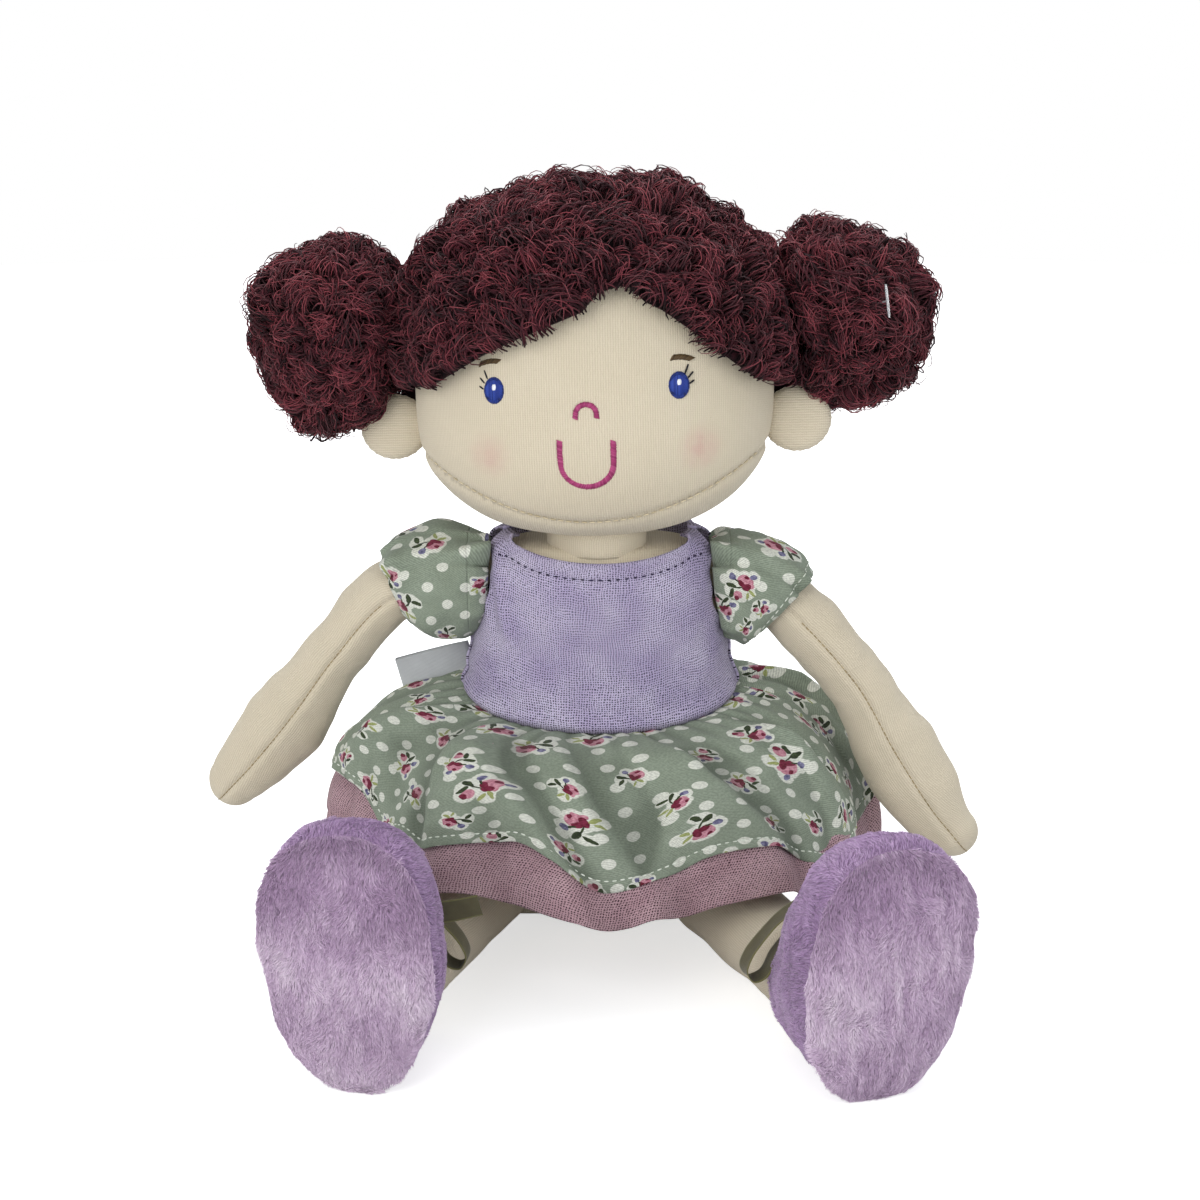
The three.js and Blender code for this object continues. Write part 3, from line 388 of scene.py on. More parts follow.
cloth_jersey = jersey_material("cream_jersey_limbs", True)
neck_foot = 145 * mm
neck_top = 158 * mm
neck_radius = 17.5 * mm
neck_centre = np.array([-1, -4]) * mm
crease_depth = 0.5 * mm
dome_start_share = 0.45
turns = round_turns(72)
neck_rows = []
for share in np.linspace(0, 1, 40):
    dome = max(share - dome_start_share, 0) / (1 - dome_start_share)
    radius = neck_radius * math.sqrt(max(1 - (dome * 0.94) ** 2, 0.01))
    rise = (neck_top - neck_foot) * min(share / dome_start_share, 1)
    height = neck_foot + rise + dome * 0.62 * neck_radius
    crease = -crease_depth * math.exp(-(((share - 0.3) / 0.06) ** 2))
    ring = np.stack([np.cos(turns), np.sin(turns)], 1) * (radius + crease) + neck_centre
    neck_rows.append(np.column_stack([ring, np.full(len(turns), height)]))
neck_rows = np.array(neck_rows)
neck_rows[..., :2] += (ripple(neck_rows, 7 * mm, 11) * 0.25 * mm)[..., None]
neck = surface(
    "neck_post",
    neck_rows,
    cloth_jersey,
    wrap=True,
    first=(*neck_centre, neck_foot),
    last=neck_rows[-1].mean(0),
)
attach(neck, "neck")
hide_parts("neck")

# Head: a wide, tightly stuffed jersey head. The face panel is sewn to an under panel along a
# chin seam that runs from ear to ear, and the head is tipped back and a little to one side.
head_half_width = 61 * mm
head_half_depth = 42 * mm
crown_height = 62 * mm
jaw_height = 49 * mm
head_power = 2.4
chin_low = -42.5 * mm
chin_rise = 23 * mm
chin_reach = 57 * mm
head_tilts = (-8, -1.8, -3)
head_place = Matrix.Translation(Vector((-2, -6, 200)) * mm) @ (
    Euler([math.radians(turn) for turn in head_tilts], "XYZ").to_matrix().to_4x4()
)
head_turn = np.array(head_place.to_3x3())
head_centre = np.array(head_place.translation)


def placed_on_head(points):
    return np.asarray(points) @ head_turn.T + head_centre


def chin_seam(across):
    return chin_low + chin_rise * (np.abs(across) / chin_reach) ** 2


def head_width_share(height):
    reach = np.where(np.asarray(height) > 0, crown_height, jaw_height)
    return (1 - np.clip(np.abs(height) / reach, 0, 0.9999) ** head_power) ** (1 / head_power)


def head_front(across, height, lift=0.0):
    """Points on the front of the face at places across and up from the head's middle."""
    across, height = np.asarray(across, float), np.asarray(height, float)
    share = head_width_share(height)
    inside = np.clip(share**2 - (across / head_half_width) ** 2, 1e-4, None)
    return placed_on_head(np.stack([across, -head_half_depth * np.sqrt(inside) - lift, height], -1))


head_rows = []
for turn in np.linspace(-math.pi / 2 + 0.02, math.pi / 2 - 0.02, 150):
    level = math.sin(turn)
    height = level * (crown_height if level > 0 else jaw_height)
    share = (1 - abs(level) ** head_power) ** (1 / head_power)
    angles = round_turns(200) + math.pi / 2
    ring = np.stack([head_half_width * share * np.cos(angles), head_half_depth * share * np.sin(angles)], 1)
    head_rows.append(np.column_stack([ring, np.full(len(angles), height)]))
head_rows = np.array(head_rows)
outward = unit(head_rows / np.array([head_half_width, head_half_depth, crown_height]))
from_seam = head_rows[..., 2] - chin_seam(head_rows[..., 0])
seam_groove = 0.95 * mm
seam_lip = 0.35 * mm
pucker_length = 3.4 * mm
pucker_depth = 0.16 * mm
pucker = np.cos(head_rows[..., 0] * 2 * math.pi / pucker_length) * bell(from_seam, 2.2 * mm) * pucker_depth
relief = -seam_groove * bell(from_seam, 1.1 * mm) + seam_lip * bell(from_seam + 3 * mm, 2.6 * mm) + pucker
relief = relief + 0.35 * mm * ripple(head_rows, 22 * mm, 5)
head_rows = head_rows + outward * relief[..., None]
face_across = np.arcsin(np.clip(head_rows[..., 0] / (head_half_width * 1.03), -1, 1)) * head_half_width
face_up = head_rows[..., 2] - head_rows[..., 1] * (head_rows[..., 2] < chin_seam(head_rows[..., 0]))
face_flat = joined_round(np.stack([face_across, face_up], 2))
blush_reach = 10 * mm
blush_right = tuple(placed_on_head([-33 * mm, -33 * mm, -19.5 * mm]))
blush_left = tuple(placed_on_head([36 * mm, -31 * mm, -18 * mm]))
blushes = ((blush_right, blush_reach, 0.3), (blush_left, blush_reach, 0.4))
face_jersey = jersey_material("cream_jersey_face", True, blushes)
head = surface(
    "head_skin",
    placed_on_head(head_rows),
    face_jersey,
    wrap=True,
    flat=face_flat,
    first=placed_on_head(head_rows[0].mean(0)),
    last=placed_on_head(head_rows[-1].mean(0)),
)
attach(head, "head")
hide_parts("head_cover", "head_stuffing")


# Chin seam thread: one dashed row of cream topstitching in the groove under the face, where the
# face panel is sewn to the panel under the chin.
def strands(name, paths, radii, shades, material, sides=3, up=None):
    """Thin rods along paths (rod, point, xyz), each with radii at its points and one shade.
    A place on their map gives the shade and how far along the rod it lies."""
    count, steps = paths.shape[:2]
    forward = unit(np.gradient(paths, axis=1), 1e-12)
    if up is None:
        dice = np.random.default_rng(count)
        up = np.repeat(dice.normal(size=(count, 1, 3)), steps, 1)
    sideways = unit(np.cross(forward, up), 1e-12)
    above = np.cross(sideways, forward)
    turns = round_turns(sides)
    ring = sideways[:, :, None] * np.cos(turns)[:, None] + above[:, :, None] * np.sin(turns)[:, None]
    radii = np.broadcast_to(radii, (count, steps))
    points = paths[:, :, None] + ring * radii[..., None, None]
    places = np.meshgrid(np.arange(count), np.arange(steps - 1), np.arange(sides), indexing="ij")
    rod, step, side = (part.ravel() for part in places)
    if sides == 2:
        rod, step, side = (part[side == 0] for part in (rod, step, side))
    beside = (side + 1) % sides
    corners = [(step, side), (step, beside), (step + 1, beside), (step + 1, side)]
    faces = np.stack([(rod * steps + s) * sides + t for s, t in corners], 1)
    shade = np.broadcast_to(np.asarray(shades)[..., None], (count, steps))
    uv = np.stack([np.stack([shade[rod, s], s / (steps - 1)], 1) for s, _ in corners], 1)
    return add_mesh(name, points.reshape(-1, 3), [faces], material, uv.reshape(-1, 2), "OFBake")


def strand_material(name, colours, roughness, painted_root_shade=0.5, sheen=0.0, looped=False):
    """Colours along a strip of shades from dark to light, with painted shade that darkens each strand towards
    its root; a looped strand gets the painted shade at both its ends, where they meet the base."""
    shader = Shader(name, roughness, sheen)
    split = shader.split(shader.add("UVMap", uv_map="OFBake").outputs[0])
    ramp = shader.add("ValToRGB", {0: split[0]})
    strip = ramp.color_ramp.elements
    strip[0].color = rgba(colours[0])
    strip[1].color = rgba(colours[-1])
    for k, code in enumerate(colours[1:-1], 1):
        strip.new(k / (len(colours) - 1)).color = rgba(code)
    along = split[1]
    if looped:
        from_middle = shader.math("ABSOLUTE", shader.math("SUBTRACT", along, 0.5))
        along = shader.math("SUBTRACT", 0.5, from_middle)
    # Painted shade: darker towards the base, where the fibres shade each other.
    root_shade_fade = shader.ranged(along, 0.0, 0.36 if looped else 0.6, painted_root_shade, 1.0)
    shader.colour(shader.mix(1.0, ramp.outputs[0], root_shade_fade, "MULTIPLY"))
    return shader.material


def stitch_row(name, points, outwards, gap, length, width, material, body, closed=False):
    """A dashed line of thread along points, each stitch arched a little above the cloth."""
    if closed:
        points, outwards = (np.vstack([rows, rows[:1]]) for rows in (points, outwards))
    run = run_along(points)
    starts = np.arange(0, run[-1] - length, gap)
    shares = np.linspace(0, 1, 5)
    along = starts[:, None] + shares * length
    outs = unit(read_along(along, run, outwards))
    paths = read_along(along, run, points) + outs * (width * 0.35 * np.sin(shares * math.pi))[:, None]
    radii = width / 2 * np.array([0.55, 1, 1, 1, 0.55])
    shades = np.random.default_rng(len(starts)).uniform(0.3, 0.8, len(starts))
    piece = strands(name, paths, radii, shades, material, sides=6, up=outs)
    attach(piece, body)
    return piece


cream_thread = strand_material("cream_thread", ["a8997a", "cdbf9f", "dfd3b6"], 0.6, 0.9)
seam_across = np.linspace(-55, 55, 240) * mm
seam_points = head_front(seam_across, chin_seam(seam_across), -0.3 * mm)
seam_out = head_front(seam_across, chin_seam(seam_across), 1 * mm) - seam_points
chin_thread = stitch_row(
    "chin_stitches", seam_points, seam_out, 2.6 * mm, 1.9 * mm, 0.5 * mm, cream_thread, "head"
)

# Ears: two small stuffed pads of jersey with a seam and small puckers round the rim, sewn into the
# sides of the head below the curls.
ear_half_width = 11.4 * mm
ear_half_height = 10.8 * mm
ear_half_thickness = 4.1 * mm
ear_dimple = 0.48 * mm
for side, sign in (("right", -1), ("left", 1)):
    rows = []
    angles = round_turns(72)
    for turn in np.linspace(-math.pi / 2 + 0.03, math.pi / 2 - 0.03, 44):
        depth = ear_half_thickness * np.sin(turn) * (1 - 0.12 * bell(turn, 0.18))
        rim = 1 + 0.035 * bell(turn, 0.09) + 0.012 * np.cos(angles * 26) * bell(turn, 0.25)
        across = ear_half_width * np.cos(turn) * rim * np.cos(angles)
        up = ear_half_height * np.cos(turn) * rim * np.sin(angles)
        rows.append(np.stack([across, np.full(72, depth), up], 1))
    rows = np.array(rows)
    rows[..., 1] -= ear_dimple * bell(np.hypot(rows[..., 0], rows[..., 2]), 5 * mm) * np.sign(rows[..., 1])
    rows += np.array([sign * 68.5, 0, -10.5]) * mm
    ear_flat = joined_round(np.stack([rows[..., 2], rows[..., 0]], 2))
    ear = surface(
        f"ear_pad_{side}",
        placed_on_head(rows),
        cloth_jersey,
        wrap=True,
        flat=ear_flat,
        first=placed_on_head(rows[0].mean(0)),
        last=placed_on_head(rows[-1].mean(0)),
    )
    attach(ear, "head")
    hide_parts(f"ear_{side}")


# Embroidered face: eyes, lashes, brows, nose and mouth in satin stitch, each stitch a raised
# thread laid across its shape and following the curve of the head.
def satin(name, starts, ends, width, shades, material, lift=0.35 * mm):
    """One thread from each start to its end, places across and up on the face, arched off the cloth."""
    shares = np.linspace(0, 1, 6)
    places = starts[:, None] + (ends - starts)[:, None] * shares[:, None]
    ground = head_front(places[..., 0], places[..., 1])
    proud = unit(head_front(places[..., 0], places[..., 1], 1 * mm) - ground)
    rise = width * 0.2 + lift * np.sin(shares * math.pi) ** 0.5
    radii = width / 2 * np.array([0.7, 1, 1, 1, 1, 0.7])
    piece = strands(name, ground + proud * rise[:, None], radii, shades, material, sides=6, up=proud)
    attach(piece, "head")
    return piece


def stroke_satin(name, line, width, material, slant=0.35, thread=0.42 * mm):
    """Satin stitch across a line of places on the face, slanted as a hand-guided machine lays it."""
    run = run_along(line)
    stops = np.arange(0, run[-1], thread * 0.85)
    middle = read_along(stops, run, line)
    along = unit(read_along(stops + 0.2 * mm, run, line) - read_along(stops - 0.2 * mm, run, line))
    aside = np.stack([-along[:, 1], along[:, 0]], 1) * width / 2
    dice = np.random.default_rng(len(stops))
    ragged = dice.uniform(0.9, 1.08, (len(stops), 1))
    lean = along * width * slant / 2
    shades = dice.uniform(0.25, 0.85, len(stops))
    starts = middle - aside * ragged - lean
    ends = middle + aside * ragged + lean
    return satin(name, starts, ends, thread, shades, material)


def arc_line(middle, half_width, half_height, turns):
    """Places across and up on the face along an arc about a middle."""
    across = middle[0] * mm + half_width * mm * np.cos(turns)
    return np.stack([across, middle[1] * mm + half_height * mm * np.sin(turns)], 1)


plum_thread = strand_material("plum_thread", ["6f2348", "a33a6d", "c05d8c"], 0.45, 0.85)
blue_thread = strand_material("blue_thread", ["0f1a4e", "22398e", "3f5cb8"], 0.4, 0.85)
navy_thread = strand_material("navy_thread", ["0a0f2c", "182a6c", "2a4194"], 0.4, 0.85)
black_thread = strand_material("black_thread", ["08080c", "15151c", "2a2a33"], 0.5, 0.9)
brown_thread = strand_material("brown_thread", ["2e2114", "4b3a24", "6b5636"], 0.5, 0.85)
white_thread = strand_material("white_thread", ["c9ccd4", "e6e8ee", "f4f5f8"], 0.5, 0.95)

nose_turns = np.linspace(math.pi * 1.02, -math.pi * 0.02, 60)
nose_arch = arc_line((-0.35, -5.9), 3.35, 3.0, nose_turns)
nose_ends = nose_arch[[0, -1]] + np.array([[-0.15, -1.3], [0.15, -1.3]]) * mm
nose_line = np.vstack([nose_ends[:1], nose_arch, nose_ends[1:]])
nose = stroke_satin("nose_stitches", nose_line, 1.7 * mm, plum_thread)
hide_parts("nose")

mouth_curve = arc_line((-0.5, -22.2), 8.6, 7.6, np.linspace(math.pi, 2 * math.pi, 90))
mouth_right = np.array([[-9.2, -14.6], [-9.3, -18]]) * mm
mouth_left = np.array([[8.2, -18], [8.2, -14.8]]) * mm
mouth_line = np.vstack([mouth_right, mouth_curve, mouth_left])
mouth = stroke_satin("mouth_stitches", mouth_line, 1.9 * mm, plum_thread)
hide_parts("mouth")

eye_half_width = 3.3 * mm
eye_half_height = 4.4 * mm
brow_half_width = 3.3 * mm
brow_above_face_middle = 11.5
lash_lines = (((3.1, 6.6), (2.0, 3.6)), ((4.6, 4.2), (3.0, 2.3)), ((4.9, 1.5), (3.4, 0.4)))
for side, sign, across, rise in (("right", -1, -30.4, 2.1), ("left", 1, 29.7, 2.5)):
    eye_centre = np.array([across, rise]) * mm
    columns = np.arange(-0.86, 0.87, 0.115)
    tall = np.sqrt(1 - columns**2) * eye_half_height * 0.86
    lows = np.stack([columns * eye_half_width * 0.9, -tall], 1) + eye_centre
    highs = np.stack([columns * eye_half_width * 0.9, tall], 1) + eye_centre
    shades = np.random.default_rng(7).uniform(0.3, 0.75, len(columns))
    iris = satin(f"eye_iris_{side}", lows, highs, 0.46 * mm, shades, blue_thread, 0.5 * mm)
    angles = np.linspace(0, 2 * math.pi, 90)
    rim_line = np.stack([np.cos(angles) * eye_half_width * 0.85, np.sin(angles) * eye_half_height * 0.87], 1)
    rim = stroke_satin(f"eye_rim_{side}", rim_line + eye_centre, 1.15 * mm, navy_thread, 0.5, 0.38 * mm)
    glint_columns = np.arange(-0.75, 0.76, 0.3)[:, None] * np.array([[0.0, 1.0]]) * mm
    glint_half = np.sqrt(1 - (glint_columns[:, 1:] / mm) ** 2) * np.array([[0.85, 0.1]]) * mm
    glint_middles = eye_centre + np.array([0.1, 1.0]) * mm + glint_columns
    glint_ends = (glint_middles - glint_half, glint_middles + glint_half)
    glint = satin(f"eye_glint_{side}", *glint_ends, 0.42 * mm, np.full(6, 0.8), white_thread, 0.85 * mm)
    lash_from = np.array([[sign * root[0], root[1]] for _, root in lash_lines]) * mm + eye_centre
    lash_to = np.array([[sign * tip[0], tip[1]] for tip, _ in lash_lines]) * mm + eye_centre
    lash_thread = (0.6 * mm, np.full(3, 0.4), black_thread, 0.25 * mm)
    lashes = satin(f"eye_lashes_{side}", lash_from, lash_to, *lash_thread)
    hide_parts(f"eye_{side}")
    brow_middle = np.array([across + sign * 1.2, brow_above_face_middle]) * mm
    brow_turns = np.linspace(-1, 1, 40)
    brow_rise = -0.55 * mm * brow_turns**2 - sign * 0.35 * mm * brow_turns
    brow_line = np.stack([brow_turns * brow_half_width, brow_rise], 1) + brow_middle
    brow = stroke_satin(f"brow_stitches_{side}", brow_line, 1.7 * mm, brown_thread, 0.9, 0.42 * mm)
    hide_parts(f"brow_{side}")

# Hair: curly burgundy looped pile, sewn on as a cap and gathered into two round buns. Lumpy fabric lies
# beneath, coloured near black as painted shade between the curls, and thousands of short curled yarn ends
# stand out of it in tufts.
# Painted shade: the base is coloured near black, for the shade in the gaps between the curls.
hair_base_in_shade = Shader("burgundy_base_painted_shade", 1.0)
under_hair = hair_base_in_shade.ranged(hair_base_in_shade.noise(hair_base_in_shade.object_place(), 420, 4), 0.35, 0.7)
hair_base_in_shade.colour(hair_base_in_shade.mix(under_hair, "12060a", "300f17"))
hair_base_in_shade.bump(under_hair, 1.2 * mm)
# One burgundy yarn in three layers: the deep layer is coloured darker as painted shade down in the pile, and
# the fine outer layer paler as painted highlight where its loops catch the light.
hair_deep_shaded = strand_material("burgundy_deep_shaded", ["18070c", "300e17", "451620"], 0.8, 0.35, 0.0, True)
hair_mid = strand_material("burgundy_mid", ["2b0c14", "4c1923", "672732"], 0.65, 0.35, 0.05, True)
hair_top_highlit = strand_material("burgundy_top_highlit", ["4b1922", "752c36", "93444c"], 0.5, 0.4, 0.1, True)


def outer_skin(node, centre):
    """The triangles of a CAD solid that face away from a point, as corners and areas."""
    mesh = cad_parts[node].data
    mesh.calc_loop_triangles()
    co = np.array([v.co for v in mesh.vertices])
    corners = co[np.array([t.vertices for t in mesh.loop_triangles])]
    cross = np.cross(corners[:, 1] - corners[:, 0], corners[:, 2] - corners[:, 0])
    area = np.linalg.norm(cross, axis=1) / 2
    normal = cross / (2 * area[:, None] + 1e-15)
    keep = (normal * unit(corners.mean(1) - centre)).sum(1) > 0.35
    return corners[keep], area[keep]


def scattered(skin, count, dice):
    """Random places on a skin of triangles."""
    corners, area = skin
    chosen = corners[dice.choice(len(area), count, p=area / area.sum())]
    a, b = dice.uniform(size=(2, count, 1))
    flip = a + b > 1
    a, b = np.where(flip, 1 - a, a), np.where(flip, 1 - b, b)
    return chosen[:, 0] + a * (chosen[:, 1] - chosen[:, 0]) + b * (chosen[:, 2] - chosen[:, 0])


def level_with(lean, out):
    """Directions made square to the ones that point out, with a length of one."""
    return unit(lean - (lean * out).sum(1)[:, None] * out)


def lock_set(skin, centre, count, seed):
    """The middles of the locks on a skin, and each one's lean, size, sweep and tone."""
    dice = np.random.default_rng(seed)
    places = scattered(skin, count, dice)
    flow = np.stack([ripple(places, 26 * mm, seed + k) for k in range(3)], 1)
    lean = level_with(flow * 0.9 + dice.normal(size=places.shape) * 0.8, unit(places - centre))
    sizes = dice.uniform(1.5, 4.3, count) * mm
    sweeps = dice.uniform(0.85, 1.5, count) * math.pi
    return places, lean, sizes, sweeps, dice.uniform(0, 1, count)


def curls(name, skin, centre, locks, count, radius, material, seed, sink, loose=1.0):
    """Looped yarn in locks: the strands of a lock arch over together and turn back to the base,
    and a few stand out as open hooks."""
    dice = np.random.default_rng(seed)
    roots = scattered(skin, count, dice)
    places, lean, sizes, sweeps, tones = locks
    near = np.empty(count, int)
    for k in range(0, count, 2000):
        part = roots[k : k + 2000]
        near[k : k + 2000] = np.argmin(((part[:, None] - places[None]) ** 2).sum(2), 1)
    out = unit(roots - centre)
    apart = roots - places[near]
    start = places[near] + apart * 0.95
    start = start + out * (1.7 * mm * ripple(start, 15 * mm, 5) - sink)[:, None]
    aside = level_with(lean[near] + dice.normal(size=roots.shape) * 0.42 * loose, out)
    across = np.cross(out, aside)
    stray = dice.uniform(size=count) < 0.07 * loose
    reach = (sizes[near] * dice.uniform(0.75, 1.2, count) * np.where(stray, 1.25, 1))[:, None, None]
    sweep = (sweeps[near] * dice.uniform(0.85, 1.15, count) * np.where(stray, 0.72, 1))[:, None, None]
    t = np.linspace(0, 1, 8)[None, :, None]
    turn = t * sweep
    crimp = dice.uniform(5, 11, count)[:, None, None]
    wiggle = 0.28 * mm * loose * np.sin(t * crimp + dice.uniform(0, 6, count)[:, None, None])
    paths = (
        (start - aside * sizes[near][:, None] * 0.8)[:, None]
        + aside[:, None] * reach * (1 - np.cos(turn))
        + out[:, None] * reach * 1.45 * np.sin(turn * 0.86)
        - apart[:, None] * 0.2 * np.sin(t * math.pi)
        + across[:, None] * (wiggle + 0.25 * reach * (t - 0.5) * dice.normal(0, 1, count)[:, None, None])
    )
    shades = np.clip(0.25 + 0.5 * tones[near] + dice.normal(0, 0.2, count), 0, 1)
    thickness = radius * np.array([0.8, 1, 1, 1, 1, 0.95, 0.8, 0.45])
    piece = strands(name, paths, thickness, shades, material)
    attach(piece, "head")


def shrunk(name, node, centre, depth):
    """The fabric under the curls, coloured dark as painted shade: the CAD solid's own shape, drawn in towards
    a point.
    """
    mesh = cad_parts[node].data.copy()
    mesh.name = name
    co = np.array([v.co for v in mesh.vertices])
    co = co - unit(co - centre) * depth
    mesh.vertices.foreach_set("co", co.astype(np.float32).ravel())
    mesh.materials.clear()
    mesh.materials.append(hair_base_in_shade.material)
    mesh.shade_smooth()
    piece = bpy.data.objects.new(name, mesh)
    scene.collection.objects.link(piece)
    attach(piece, "head")
    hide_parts(node)
    return piece


deep_yarn = 0.4 * mm
mid_yarn = 0.25 * mm
fine_yarn = 0.16 * mm
cap_middle = placed_on_head([0, 0, 8 * mm])
cap_skin = outer_skin("hair_cap", cap_middle)
cap_base = shrunk("hair_cap_base", "hair_cap", cap_middle, 3.6 * mm)
cap_locks = lock_set(cap_skin, cap_middle, 780, 31)
cap = (cap_skin, cap_middle, cap_locks)
curls("hair_cap_curls_deep", *cap, 9000, deep_yarn, hair_deep_shaded, 1, 4.6 * mm)
curls("hair_cap_curls_mid", *cap, 9200, mid_yarn, hair_mid, 2, 4.0 * mm)
curls("hair_cap_curls_fine", *cap, 9200, fine_yarn, hair_top_highlit, 3, 3.7 * mm, loose=1.5)

bun_middles = {"right": (-89.8, 2, 218), "left": (82.8, 2, 224.8)}
for side, middle in bun_middles.items():
    middle = np.array(middle) * mm
    bun_skin = outer_skin(f"bun_{side}", middle)
    bun_base = shrunk(f"bun_base_{side}", f"bun_{side}", middle, 4.6 * mm)
    bun = (bun_skin, middle, lock_set(bun_skin, middle, 330, 37))
    curls(f"bun_curls_deep_{side}", *bun, 4800, deep_yarn, hair_deep_shaded, 4, 5.2 * mm)
    curls(f"bun_curls_mid_{side}", *bun, 6000, mid_yarn, hair_mid, 5, 4.4 * mm)
    curls(f"bun_curls_fine_{side}", *bun, 5000, fine_yarn, hair_top_highlit, 6, 3.9 * mm, loose=1.5)

# Tag barb: the clear plastic end of a tag's fastening, left in the bun on the doll's left. A thin
# bar lies across the end of a thinner stem, both moulded in one.
clear = Shader("clear_plastic", 0.12, shine=0.6)
clear.finish({"Transmission Weight": 0.75, "IOR": 1.49})
clear.colour(clear.mix(clear.noise(clear.object_place(), 900), "dfe6ea", "f2f5f7"))
stem_length = 7
bar_length = 11
bar_radius = 0.5 * mm
stem_radius = 0.34 * mm
barb_way = Vector((0.45, -0.85, 0.25)).normalized()
barb_root = Vector((bun_middles["left"][0] + 8, -21.5, 231.8)) * mm
barb_tip = barb_root + barb_way * stem_length * mm
bar_way = barb_way.to_track_quat("Y", "Z").to_matrix() @ Vector((0, 0, 1))
bar_line = np.array([barb_tip + bar_way * (k / 8 - 0.5) * bar_length * mm for k in range(9)])
stem_line = np.array([barb_root + (barb_tip - barb_root) * (k / 8) for k in range(9)])
bar_radii = bar_radius * np.array([0.55, 0.9, 1, 1, 1, 1, 1, 0.9, 0.55])
barb_bar = strands("tag_barb_bar", bar_line[None], bar_radii, [0.5], clear.material, sides=12)
barb_stem = strands("tag_barb_stem", stem_line[None], stem_radius, [0.5], clear.material, sides=12)
for piece in (barb_bar, barb_stem):
    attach(piece, "head")
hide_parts("tag_barb")


# Arms: slim stuffed jersey arms with round mitten hands. Two halves meet in a seam down the
# front, which pulls into small puckers, and the stuffing leaves shallow creases at the elbow.
def smooth_route(points, count):
    """A smooth line through points, sampled evenly along its length."""
    points = np.asarray(points, float)
    ends = np.vstack([2 * points[0] - points[1], points, 2 * points[-1] - points[-2]])
    fine = []
    for a, b, c, d in zip(ends, ends[1:], ends[2:], ends[3:]):
        s, t, u = (max(np.linalg.norm(q - p), 1e-9) ** 0.5 for p, q in ((a, b), (b, c), (c, d)))
        start = ((b - a) / s - (c - a) / (s + t) + (c - b) / t) * t
        end = ((c - b) / t - (d - b) / (t + u) + (d - c) / u) * t
        x = np.linspace(0, 1, 40, endpoint=False)[:, None]
        bend = 3 * (c - b) - 2 * start - end
        fine.append(b + start * x + bend * x**2 + (2 * (b - c) + start + end) * x**3)
    fine = np.vstack(fine + [points[-1:]])
    along = run_along(fine)
    return read_along(np.linspace(0, along[-1], count), along, fine)


def turned_from(angle, middle):
    """Angles measured from a middle one, between half a turn back and half a turn on."""
    return (angle - middle + math.pi) % (2 * math.pi) - math.pi


def limb_grid(route, radii, flats, upright, root, columns=96, rows=110):
    """Rings square to a route, round at the tip: radii and flats are read along its length."""
    length = np.linalg.norm(np.diff(route, axis=0), axis=1).sum()
    tip_radius = radii[-1]
    body = np.linspace(root, length, rows)
    cap = np.linspace(0, 1, 26)[1:-1] * math.pi / 2
    along = np.concatenate([body, length + tip_radius * np.sin(cap)])
    share = np.concatenate([np.ones(rows), np.cos(cap)])
    at = np.linspace(0, length, len(route))
    inside = np.clip(along, 0, length)
    centre = read_along(inside, at, route)
    forward = read_along(inside, at, unit(np.gradient(route, axis=0)))
    centre = centre + forward * (along - inside)[:, None]
    across = unit(np.cross(forward, upright))
    up = np.cross(across, forward)
    knots = np.linspace(0, length, len(radii))
    profile = smooth_route(np.stack([knots, radii], 1), 300)
    radius = np.interp(inside, profile[:, 0], profile[:, 1]) * share
    flat = np.interp(inside, np.linspace(0, length, len(flats)), flats)
    angles = round_turns(columns)
    wide = radius[:, None] * np.cos(angles)
    deep = (radius * flat)[:, None] * np.sin(angles)
    grid = centre[:, None] + across[:, None] * wide[..., None] + up[:, None] * deep[..., None]
    normal = across[:, None] * np.cos(angles)[:, None] + up[:, None] * np.sin(angles)[:, None]
    tip = centre[-1] + forward[-1] * tip_radius * (1 - math.sin(cap[-1]))
    return grid, normal, along, angles, radius, tip


shoulder_across = 43 * mm
shoulder_height = 137 * mm
arm_routes = {
    "right": (
        (0, 0, 0), (-20, 2, -6), (-33, 3, -12), (-51, 6, -33), (-66, 10, -54), (-80, 14, -72), (-91, 17, -85)
    ),
    "left": (
        (0, 0, 0), (14, -1, -6), (23, -2, -13), (46, -7, -38), (60, -10, -62), (73, -13, -82), (81, -15, -92)
    ),
}
arm_radii = np.array([9.5, 10.8, 11.5, 11.0, 11.6, 14.4, 13.6, 9.6]) * mm
arm_flat_shares = [1, 1, 1, 1, 0.92, 0.82, 0.8, 0.8]
arm_seam_depth = 0.75 * mm
arm_seam_lip = 0.22 * mm
arm_pucker = 0.16 * mm
arm_pucker_length = 3.1 * mm
tab_outline = (
    (-9.6, 3.4), (-8, 3.9), (-6.6, 4), (-5.4, 5.2), (-3, 6.9), (0, 7.4), (3, 6.8), (5.4, 5), (6.9, 2.6)
)
seam_thread = strand_material("seam_thread", ["7d6c4c", "9c8a66", "b5a582"], 0.7, 0.9)
arm_lines = {}
arms = {}
